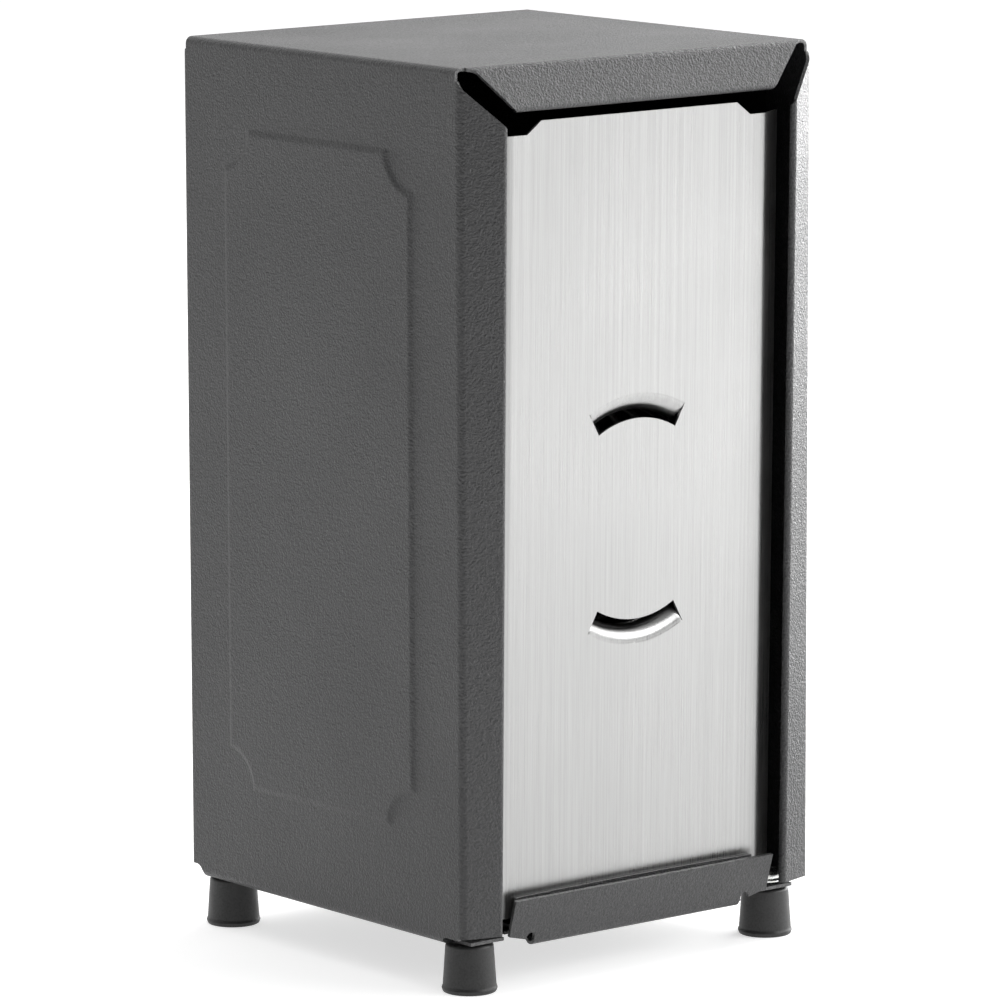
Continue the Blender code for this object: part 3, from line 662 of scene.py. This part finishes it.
def slot_edge(inset):
    """How far down a mitre slot's edge lies from the outer corner, `inset` from the fold."""
    straight = SLOT_EDGE + SLOT_R * (1 - math.sqrt(0.5))
    if inset >= straight:
        return SLOT_EDGE + SLOT_R * (1 + math.sqrt(0.5)) + inset - straight
    across = max(0.0, SLOT_R + SLOT_EDGE - max(inset, SLOT_EDGE))
    return SLOT_EDGE + SLOT_R + math.sqrt(max(0.0, SLOT_R ** 2 - across ** 2))


def panel_rise(y, z):
    """How far the raised side panel stands out at a point of the side."""
    y0, y1 = FRONT + PANEL_FRONT, FRONT + PANEL_BACK
    inside = min(y - y0, y1 - y, z - PANEL_LOW_Z, PANEL_HIGH_Z - z)
    for corner_y in (y0, y1):
        for corner_z in (PANEL_LOW_Z, PANEL_HIGH_Z):
            inside = min(inside, math.hypot(y - corner_y, z - corner_z) - PANEL_SCOOP)
    share = max(0.0, min(1.0, inside / PANEL_SLOPE))
    return PANEL_RISE * share * share * (3 - 2 * share)


def shell_surface():
    """The outside of the case: the wrapped sheet with its front and rear flanges."""
    reach = PANEL_SCOOP + PANEL_SLOPE + 2 * FINE
    near = [(PANEL_LOW_Z, PANEL_LOW_Z + reach), (PANEL_HIGH_Z - reach, PANEL_HIGH_Z)]
    levels = steps_between(FLANGE_BOTTOM_Z, SLOT_Z, near, FINE, COARSE)
    front, back = FRONT + PANEL_FRONT, FRONT + PANEL_BACK
    near = [(front, front + reach), (back - reach, back)]
    stations = steps_between(FRONT + FOLD_START, BACK - FOLD_START, near, FINE, COARSE)

    hem = round_over((HALF_W, HEM_Z), (1.0, 0.0), (0.0, 1.0), HEM_R, FOLD_STEPS)
    top = round_over((HALF_W, TOP_Z), (0.0, 1.0), (-1.0, 0.0), TOP_R, FOLD_STEPS)
    half = [Vector((HALF_W - HEM, HEM_Z))] + hem + [Vector((HALF_W, z)) for z in levels]
    half += top + [Vector((SLOT_X, TOP_Z))]
    first = 1 + len(hem)
    last = first + len(levels)

    bm = bmesh.new()
    rows = []
    for y in stations:
        right = []
        for i, p in enumerate(half):
            rise = panel_rise(y, p.y) if first <= i < last else 0.0
            right.append((p.x + rise, y, p.y))
        points = right + [(-x, y, z) for x, y, z in reversed(right)]
        rows.append([bm.verts.new(p) for p in points])
    grid(bm, rows)

    def side_flange(edge, sign, profile_at, plane, outward):
        """A flange along one side: rows follow the profile, columns the levels."""
        made = [edge]
        for j in range(1, len(profile_at(0.0))):
            row = []
            for i, root in enumerate(edge):
                share = (root.co.z - levels[0]) / (levels[-1] - levels[0])
                inset, out = profile_at(share)[j]
                top = TOP_Z - slot_edge(inset)
                z = levels[0] + (top - levels[0]) * share
                row.append(bm.verts.new((sign * (HALF_W - inset), plane + outward * out, z)))
            made.append(row)
        grid(bm, made)

    def top_flange(edge, profile, plane, outward):
        """A flange along the top, between its two slots."""
        made = [edge]
        for inset, out in profile[1:]:
            made.append([bm.verts.new((math.copysign(HALF_W - slot_edge(inset), root.co.x),
                                       plane + outward * out, TOP_Z - inset)) for root in edge])
        grid(bm, made)

    def leaning(share):
        """The front flanges lean further out towards the top."""
        return lip_profile(LIP_INSET, LIP_OUT_BOTTOM + (LIP_OUT_TOP - LIP_OUT_BOTTOM) * share)

    def square(share):
        """The rear flanges are folded square all the way."""
        return flat_flange_profile(REAR_FLANGE)

    count = len(rows[0])
    visor = lip_profile(VISOR_DROP, VISOR_OUT)
    for verts, plane, outward, side, top_shape in (
            (rows[0], FRONT, -1, leaning, visor),
            (rows[-1], BACK, 1, square, flat_flange_profile(REAR_FLANGE))):
        side_flange(verts[first:last], 1, side, plane, outward)
        side_flange([verts[count - 1 - i] for i in range(first, last)], -1, side, plane, outward)
        top_flange([verts[count // 2 - 1], verts[count // 2]], top_shape, plane, outward)

    bmesh.ops.recalc_face_normals(bm, faces=bm.faces)
    highest = max(bm.faces, key=lambda f: f.calc_center_median().z)
    if highest.normal.z < 0:
        bmesh.ops.reverse_faces(bm, faces=bm.faces)
    return finish_mesh("case", bm)


def notches():
    """A cutter for the corner reliefs, through the lower side folds only."""
    low, high, reach = HEM_Z - 0.002, FLANGE_BOTTOM_Z - NOTCH_SKIN, NOTCH_OVERRUN
    end, r = FRONT + NOTCH_FRONT, NOTCH_FRONT_R
    front = [(FRONT - reach, low), (end, low)]
    front += arc((end - r, high - r), r, 0.0, math.pi / 2, 12) + [(FRONT - reach, high)]
    high = HEM_Z + NOTCH_BACK_RISE
    end, r = BACK - NOTCH_BACK, NOTCH_BACK_R
    back = [(end, low), (BACK + reach, low), (BACK + reach, high)]
    back += arc((end + r, high - r), r, math.pi / 2, math.pi, 12)
    bm = bmesh.new()
    for sign in (-1, 1):
        for outline in (front, back):
            face = bm.faces.new([bm.verts.new((sign * NOTCH_X, y, z)) for y, z in outline])
            made = bmesh.ops.extrude_face_region(bm, geom=[face])
            moved = [v for v in made["geom"] if isinstance(v, bmesh.types.BMVert)]
            bmesh.ops.translate(bm, verts=moved, vec=(sign * reach, 0.0, 0.0))
    bmesh.ops.recalc_face_normals(bm, faces=bm.faces)
    return new_object("notches", finish_mesh("notches", bm))


def case():
    """One wrapped sheet: top, sides, visor, front and rear flanges and hems."""
    made = new_object("case", shell_surface())
    made.data.materials.append(COAT)
    made.data.materials.append(COAT_EDGE_WEAR_AND_HIGHLIGHT)
    solidify(made, SHEET)
    boolean(made, notches())
    feet = [middle(f"foot_{corner}") for corner in CORNERS]
    feet = [(p.x, p.y, HEM_Z) for p in feet]
    boolean(made, cylinders(feet, HOLE_R, 0.005, (0, 0, 1)))
    hem_places = [middle(f"base_rivet_{i}") for i in range(1, 5)]
    hem_places = [(p.x, p.y, HEM_Z) for p in hem_places]
    boolean(made, cylinders(hem_places, RIVET_HOLE_R, 0.004, (0, 0, 1)))
    back_places = [middle(f"back_rivet_{i}") for i in range(1, 7)]
    back_places = [(p.x, BACK, p.z) for p in back_places]
    boolean(made, cylinders(back_places, RIVET_HOLE_R, 0.004, (0, 1, 0)))
    break_edges(made, EDGE_BREAK)
    return piece(made, "case_shell", [])


# ---- the flat panels ----------------------------------------------------------------------
def back_panel():
    """Flat sheet that closes the back, inside the rear flanges."""
    places = [middle(f"back_rivet_{i}") for i in range(1, 7)] + [middle("seat_rivet")]
    loops = [rounded_rectangle((BACK_LOW.x, BACK_LOW.z), (BACK_HIGH.x, BACK_HIGH.z), 0.0020)]
    loops += [circle((p.x, p.z), RIVET_HOLE_R, 32) for p in places]
    made = prism("back_sheet", loops, SHEET)
    face_y(made, (0.0, (BACK_LOW.y + BACK_HIGH.y) / 2, 0.0))
    break_edges(made, EDGE_BREAK)
    return piece(made, "back_panel", [COAT])


def base():
    """Flat bottom sheet lying on the hems, its corners cut back round the foot screws."""
    front, back, half = BASE_LOW.y, BASE_HIGH.y, BASE_HIGH.x
    right = [(BASE_END_HALF, front), (BASE_END_HALF, front + BASE_EAR), (half, front + BASE_EAR),
             (half, back - BASE_EAR), (BASE_END_HALF, back - BASE_EAR), (BASE_END_HALF, back)]
    names = [f"base_rivet_{i}" for i in range(1, 5)] + ["tray_rivet_1", "tray_rivet_2"]
    loops = [right + [(-x, y) for x, y in reversed(right)]]
    loops += [circle((middle(name).x, middle(name).y), RIVET_HOLE_R, 32) for name in names]
    made = prism("base", loops, SHEET)
    made.location = (0.0, 0.0, (BASE_LOW.z + BASE_HIGH.z) / 2)
    break_edges(made, EDGE_BREAK)
    return piece(made, "base_panel", [COAT])


def tray_surface():
    """Underside of the tray bracket: foot, joggle, floor and the leaning wall with its ears."""
    bm = bmesh.new()
    lean = Vector((-(WALL_OUT_TOP - WALL_OUT_BOTTOM), TRAY_HIGH.z - TRAY_FLOOR_Z))
    corner = Vector((FRONT - WALL_OUT_BOTTOM, TRAY_FLOOR_Z))
    high = Vector((FRONT + TRAY_STEP, HEM_Z))
    low = Vector((FRONT + TRAY_FLOOR, TRAY_FLOOR_Z))
    ahead = Vector((-1.0, 0.0))

    def on_wall(z):
        """A point of the wall's outer face at a height."""
        return corner + lean * (z - TRAY_FLOOR_Z) / lean.y

    stations = [Vector((FRONT + TRAY_FOOT, HEM_Z))]
    stations += round_over(high, ahead, low - high, 0.0005)
    stations += round_over(low, low - high, ahead, 0.0005)
    stations += round_over(corner, ahead, lean, 0.0011, FOLD_STEPS)
    stations += [on_wall(WALL_EAR_Z), on_wall(TRAY_HIGH.z)]
    strips = [[bm.verts.new((x, y, z)) for x in (-TRAY_HALF, TRAY_HALF)] for y, z in stations]
    grid(bm, strips)
    for i, sign in ((0, -1), (1, 1)):
        ear = [bm.verts.new((sign * WALL_HALF, y, z)) for y, z in stations[-2:]]
        bm.faces.new((strips[-2][i], ear[0], ear[1], strips[-1][i]))
        bm.faces.new((strips[-3][i], ear[0], strips[-2][i]))
    bmesh.ops.recalc_face_normals(bm, faces=bm.faces)
    if max(bm.faces, key=lambda f: f.calc_area()).normal.y > 0:
        bmesh.ops.reverse_faces(bm, faces=bm.faces)
    return finish_mesh("tray_bracket", bm)


def tray():
    """Catch tray bracket, riveted under the front of the base."""
    made = new_object("tray_bracket", tray_surface())
    made.data.materials.append(COAT)
    made.data.materials.append(COAT_EDGE_WEAR_AND_HIGHLIGHT)
    solidify(made, SHEET)
    relief = [(sign * TRAY_RELIEF_X, FRONT, WALL_EAR_Z - 0.0009) for sign in (-1, 1)]
    boolean(made, cylinders(relief, TRAY_RELIEF_R, 0.005, (0, 1, 0)))
    places = [(middle(f"tray_rivet_{i}").x, middle(f"tray_rivet_{i}").y, HEM_Z) for i in (1, 2)]
    boolean(made, cylinders(places, RIVET_HOLE_R, 0.004, (0, 0, 1)))
    break_edges(made, EDGE_BREAK)
    return piece(made, "tray", [])


def napkin_stop():
    """Angle strip behind the tray wall that the faceplate's lower edge rests against."""
    bm = bmesh.new()
    columns = 33
    front_y = STOP_LOW.y
    foot_z = STOP_LOW.z
    path = [(front_y + STOP_FOOT, foot_z)]
    path += [tuple(p) for p in round_over((front_y, foot_z), (-1.0, 0.0), (0.0, 1.0), 0.0010,
                                          FOLD_STEPS)]
    path.append((front_y, STOP_HIGH.z - STOP_BOW))
    rows = []
    for j, (y, z) in enumerate(path):
        row = []
        for i in range(columns):
            across = -1 + 2 * i / (columns - 1)
            rise = STOP_BOW * (1 - across ** 2) if j == len(path) - 1 else 0.0
            row.append(bm.verts.new((STOP_HIGH.x * across, y, z + rise)))
        rows.append(row)
    grid(bm, rows)
    bmesh.ops.recalc_face_normals(bm, faces=bm.faces)
    front_face = min(bm.faces, key=lambda f: f.calc_center_median().y)
    if front_face.normal.y > 0:
        bmesh.ops.reverse_faces(bm, faces=bm.faces)
    made = new_object("stop_strip", finish_mesh("stop_strip", bm))
    made.data.materials.append(COAT)
    made.data.materials.append(COAT_EDGE_WEAR_AND_HIGHLIGHT)
    solidify(made, STOP_SHEET)
    rivets = [middle(f"tray_rivet_{i}") for i in (1, 2)]
    places = [(p.x, p.y, foot_z) for p in rivets]
    boolean(made, cylinders(places, RIVET_HOLE_R, 0.003, (0, 0, 1)))
    break_edges(made, 0.00008)
    return piece(made, "napkin_stop", [])


# ---- the faceplate ------------------------------------------------------------------------
def plate_surface():
    """Front of the faceplate about the middle of its slots: the face, its tab and its wings."""
    bm = bmesh.new()
    wing = round_over((PLATE_HALF, 0.0), (1.0, 0.0), (WING_OUT, WING_BACK), 0.0009, 6)
    half = [Vector((PLATE_TAB_HALF, 0.0)), Vector((PLATE_EAR_HALF, 0.0))] + wing
    half.append(Vector((PLATE_HALF + WING_OUT, WING_BACK)))
    section = [(-p.x, p.y) for p in reversed(half)] + [(p.x, p.y) for p in half]
    low, ear, tab = (z - SLOT_CENTRE_Z for z in (PLATE_BOTTOM_Z, PLATE_EAR_Z, PLATE_TAB_Z))
    rows = [[bm.verts.new((x, y, z)) for x, y in section] for z in (low, ear)]
    grid(bm, rows)
    left = len(half) - 1
    ears = rows[1][left - 1:left + 3]
    tips = [bm.verts.new((x, 0.0, tab)) for x in (-PLATE_TAB_HALF, PLATE_TAB_HALF)]
    bm.faces.new((ears[0], ears[1], tips[0]))
    bm.faces.new((ears[1], ears[2], tips[1], tips[0]))
    bm.faces.new((ears[2], ears[3], tips[1]))
    bmesh.ops.recalc_face_normals(bm, faces=bm.faces)
    if max(bm.faces, key=lambda f: f.calc_area()).normal.y > 0:
        bmesh.ops.reverse_faces(bm, faces=bm.faces)
    return finish_mesh("plate", bm)


def arc_slots():
    """The two slots, facing each other on one circle."""
    bm = bmesh.new()
    for towards in (math.pi / 2, -math.pi / 2):
        start, end = towards - ARC_HALF_ANGLE, towards + ARC_HALF_ANGLE
        outline = arc((0, 0), ARC_OUTER, start, end, 40) + arc((0, 0), ARC_INNER, end, start, 40)
        face = bm.faces.new([bm.verts.new((x, -0.002, z)) for x, z in outline])
        made = bmesh.ops.extrude_face_region(bm, geom=[face])
        moved = [v for v in made["geom"] if isinstance(v, bmesh.types.BMVert)]
        bmesh.ops.translate(bm, verts=moved, vec=(0.0, 0.004, 0.0))
    bmesh.ops.recalc_face_normals(bm, faces=bm.faces)
    return new_object("arc_slots", finish_mesh("arc_slots", bm))


def slot_curls():
    """The tongues left by the slots, curled back inside round the end of the spring."""
    skin, root, steps = 0.00002, 0.0004, 12
    outer = [(ARC_OUTER + root, skin)]
    inner = [(ARC_OUTER + root, skin + CURL_SHEET)]
    for i in range(steps + 1):
        a = CURL_ANGLE * i / steps
        outer.append((ARC_OUTER - CURL_R * math.sin(a), skin + CURL_R * (1 - math.cos(a))))
        near = CURL_R - CURL_SHEET
        inner.append((ARC_OUTER - near * math.sin(a), skin + CURL_R - near * math.cos(a)))
    profile = outer + inner[::-1]
    bm = bmesh.new()
    for towards in (math.pi / 2, -math.pi / 2):
        margin = math.radians(0.3)
        start = towards - ARC_HALF_ANGLE + margin
        spoke = [bm.verts.new((r * math.cos(start), y, r * math.sin(start))) for r, y in profile]
        face = bm.faces.new(spoke)
        bmesh.ops.spin(bm, geom=[face] + list(face.edges) + spoke, cent=(0, 0, 0), axis=(0, -1, 0),
                       angle=2 * (ARC_HALF_ANGLE - margin), steps=40, use_duplicate=False)
    bmesh.ops.recalc_face_normals(bm, faces=bm.faces)
    return new_object("slot_curls", finish_mesh("slot_curls", bm))


def faceplate():
    """Brushed plate that the spring pushes against the napkins."""
    made = new_object("plate", plate_surface())
    made.data.materials.append(BRUSHED)
    made.data.materials.append(PLATE_EDGE)
    solidify(made, PLATE_SHEET)
    boolean(made, arc_slots())
    boolean(made, slot_curls(), "UNION")
    break_edges(made, 0.00006)
    made.location = (0.0, FRONT + PLATE_SETBACK, SLOT_CENTRE_Z)
    made.rotation_euler = (PLATE_LEAN, 0.0, 0.0)
    return piece(made, "faceplate", [], PUSHER_BODY, shade=28.0)


# ---- spring and its seat ------------------------------------------------------------------
def spring():
    """Coil spring between the faceplate and the seat on the back panel."""
    start, end = SPRING_LOW.y + WIRE_R, SPRING_HIGH.y - WIRE_R
    closed = 2 * WIRE_R + GAP
    turns = 2 * TURNS_CLOSED + TURNS_ACTIVE
    pitch = (end - start - 2 * TURNS_CLOSED * closed) / TURNS_ACTIVE
    per_turn = 48
    curve = bpy.data.curves.new("coil", "CURVE")
    curve.dimensions = "3D"
    curve.bevel_depth = WIRE_R
    curve.bevel_resolution = 4
    curve.use_fill_caps = True
    spline = curve.splines.new("POLY")
    count = int(turns * per_turn) + 1
    spline.points.add(count - 1)
    for i, point in enumerate(spline.points):
        turn = i / per_turn
        slow = min(turn, TURNS_CLOSED) + max(0.0, turn - TURNS_CLOSED - TURNS_ACTIVE)
        y = start + slow * closed + (turn - slow) * pitch
        angle = -math.pi / 2 + math.tau * turn
        point.co = (SPRING_R * math.cos(angle), y, SPRING_R * math.sin(angle), 1.0)
    guide = new_object("coil_path", curve)
    bpy.context.view_layer.update()
    evaluated = guide.evaluated_get(bpy.context.evaluated_depsgraph_get())
    bm = bmesh.new()
    bm.from_mesh(bpy.data.meshes.new_from_object(evaluated))
    bpy.data.objects.remove(guide, do_unlink=True)
    bmesh.ops.remove_doubles(bm, verts=bm.verts, dist=1e-6)
    bmesh.ops.recalc_face_normals(bm, faces=bm.faces)
    bmesh.ops.translate(bm, verts=bm.verts, vec=(0.0, 0.0, SLOT_CENTRE_Z))
    made = new_object("coil", finish_mesh("coil", bm))
    piece(made, "spring", [WIRE], shade=50.0)
    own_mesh(made)
    return made


def spring_seat():
    """Pressed pan on the back panel that centres the spring's last turn."""
    rim, boss, bore = SEAT_RIM, SEAT_BOSS, RIVET_HOLE_R
    rise, sheet, slope = SEAT_HIGH.y - SEAT_LOW.y, PLATE_SHEET, SEAT_SLOPE
    points = [(bore, rise - sheet), (bore, rise), (boss - slope, rise), (boss, sheet),
              (rim, sheet), (rim, 0.0), (boss - sheet / 2, 0.0),
              (boss - slope - sheet / 2, rise - sheet), (bore, rise - sheet)]
    rounds = [0.0, 0.00012, 0.0005, 0.0005, 0.00015, 0.00015, 0.0003, 0.0003, 0.0]
    profile = rounded_profile(points, rounds, 4)[:-1]
    made = lathe("seat", profile, 72)
    made.rotation_euler = (math.pi / 2, 0.0, 0.0)
    made.location = (0.0, SEAT_HIGH.y, SLOT_CENTRE_Z)
    return piece(made, "spring_seat", [COAT])


# ---- fastenings and feet ------------------------------------------------------------------
def rivet(node, head, towards):
    """A domed rivet: `head` is its head's outer end, `towards` points out of the head."""
    low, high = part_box(node)
    length = max((high - low).dot(Vector(map(abs, towards))), 0.0)
    head_r, head_h, tail_r, tail_h = RIVET_HEAD_R, RIVET_HEAD_H, RIVET_TAIL_R, RIVET_TAIL_H
    dome = [(head_r * math.sin(a), -head_h * (1 - math.cos(a)))
            for a in (math.radians(8 * i) for i in range(11))]
    tail = -length
    profile = dome + [(head_r, -head_h + 0.0001), (head_r - 0.0001, -head_h),
                      (RIVET_R, -head_h), (RIVET_R, tail + tail_h)]
    profile += [(tail_r - 0.0001, tail + tail_h), (tail_r, tail + tail_h - 0.0001),
                (tail_r * 0.85, tail), (0.0, tail)]
    made = lathe(node + "_metal", profile, 36)
    made.rotation_euler = Vector(towards).to_track_quat("Z", "Y").to_euler()
    made.location = head
    return piece(made, node, [RIVET_COAT])


def rivets():
    """Every rivet of the frame, head outwards."""
    for i in range(1, 7):
        place = middle(f"back_rivet_{i}")
        rivet(f"back_rivet_{i}", (place.x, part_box(f"back_rivet_{i}")[1].y, place.z), (0, 1, 0))
    for name in [f"base_rivet_{i}" for i in range(1, 5)] + ["tray_rivet_1", "tray_rivet_2"]:
        place = middle(name)
        rivet(name, (place.x, place.y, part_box(name)[0].z), (0, 0, -1))
    place = middle("seat_rivet")
    rivet("seat_rivet", (place.x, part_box("seat_rivet")[1].y, place.z), (0, 1, 0))


def foot(corner):
    """A tapered rubber foot, a little flared where it stands."""
    node = f"foot_{corner}"
    low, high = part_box(node)
    place = (low + high) / 2
    base_r, top_r, top_z = (high.x - low.x) / 2, FOOT_TOP_R, high.z
    bore_z, flare = FOOT_BORE_Z, FOOT_FLARE
    points = [(0.0, bore_z), (HOLE_R, bore_z), (HOLE_R, top_z), (top_r, top_z),
              (base_r - 0.00025, flare * 1.7), (base_r, flare), (base_r - 0.0003, 0.0), (0.0, 0.0)]
    rounds = [0.0, 0.0, 0.0002, 0.0007, 0.0002, 0.0002, 0.0002, 0.0]
    made = lathe(node + "_rubber", rounded_profile(points, rounds, 5), 64)
    made.location = (place.x, place.y, 0.0)
    return piece(made, node, [RUBBER], shade=50.0)


def washer(corner):
    """A plain washer."""
    node = f"foot_washer_{corner}"
    low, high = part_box(node)
    place, r, height = (low + high) / 2, (high.x - low.x) / 2, high.z - low.z
    edge = 0.0001
    profile = [(HOLE_R, height - edge), (HOLE_R + edge, height), (r - edge, height),
               (r, height - edge), (r, edge), (r - edge, 0.0), (HOLE_R + edge, 0.0),
               (HOLE_R, edge)]
    made = lathe(node + "_metal", profile, 48)
    made.location = (place.x, place.y, low.z)
    return piece(made, node, [ZINC])


def cross_recess(depth, reach, width):
    """A tapered cross-shaped cutter, hanging from just above local z = 0."""
    half = width / 2
    arm = [(reach, -half), (reach, half), (half, half)]
    outline = []
    for quarter in range(4):
        c, s = round(math.cos(quarter * math.pi / 2)), round(math.sin(quarter * math.pi / 2))
        outline += [(c * x - s * y, s * x + c * y) for x, y in arm]
    bm = bmesh.new()
    upper = [bm.verts.new((x, y, 0.0001)) for x, y in outline]
    lower = [bm.verts.new((x * 0.5, y * 0.5, -depth)) for x, y in outline]
    bm.faces.new(upper)
    bm.faces.new(lower[::-1])
    for i in range(len(outline)):
        j = (i + 1) % len(outline)
        bm.faces.new((upper[i], lower[i], lower[j], upper[j]))
    bmesh.ops.recalc_face_normals(bm, faces=bm.faces)
    return new_object("recess", finish_mesh("recess", bm))


def screw(corner, turn):
    """A pan-head screw with a cross recess."""
    node = f"foot_screw_{corner}"
    low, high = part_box(node)
    place, head_r = (low + high) / 2, (high.x - low.x) / 2
    washer_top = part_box(f"foot_washer_{corner}")[1].z
    under = washer_top + GAP - high.z
    head_h = -under
    dome = [(head_r * s, -head_h * d) for s, d in
            ((0.0, 0.0), (0.25, 0.006), (0.48, 0.024), (0.68, 0.075), (0.83, 0.16), (0.93, 0.28),
             (0.985, 0.42), (1.0, 0.56))]
    tip = low.z - high.z
    profile = dome + [(head_r, under + 0.0001), (head_r - 0.0001, under), (BOLT_R, under)]
    profile += [(BOLT_R, tip + 0.0007), (BOLT_R - 0.0005, tip), (0.0, tip)]
    made = lathe(node + "_metal", profile, 48)
    boolean(made, cross_recess(0.0012, 0.0021, 0.0008))
    made.rotation_euler = (0.0, 0.0, math.radians(turn))
    made.location = (place.x, place.y, high.z)
    return piece(made, node, [ZINC])


# ---- everything ---------------------------------------------------------------------------
scene.view_settings.view_transform = "Standard"
add_camera()
add_world()
add_floor()
for light_name, light_place, light_target, light_size, light_power in LIGHTS:
    add_light(light_name, light_place, light_target, light_size, light_power)

case()
back_panel()
base()
tray()
napkin_stop()
faceplate()
spring()
spring_seat()
rivets()
for corner_name, screw_turn in zip(CORNERS, (12, 47, 75, 20)):
    foot(corner_name)
    washer(corner_name)
    screw(corner_name, screw_turn)
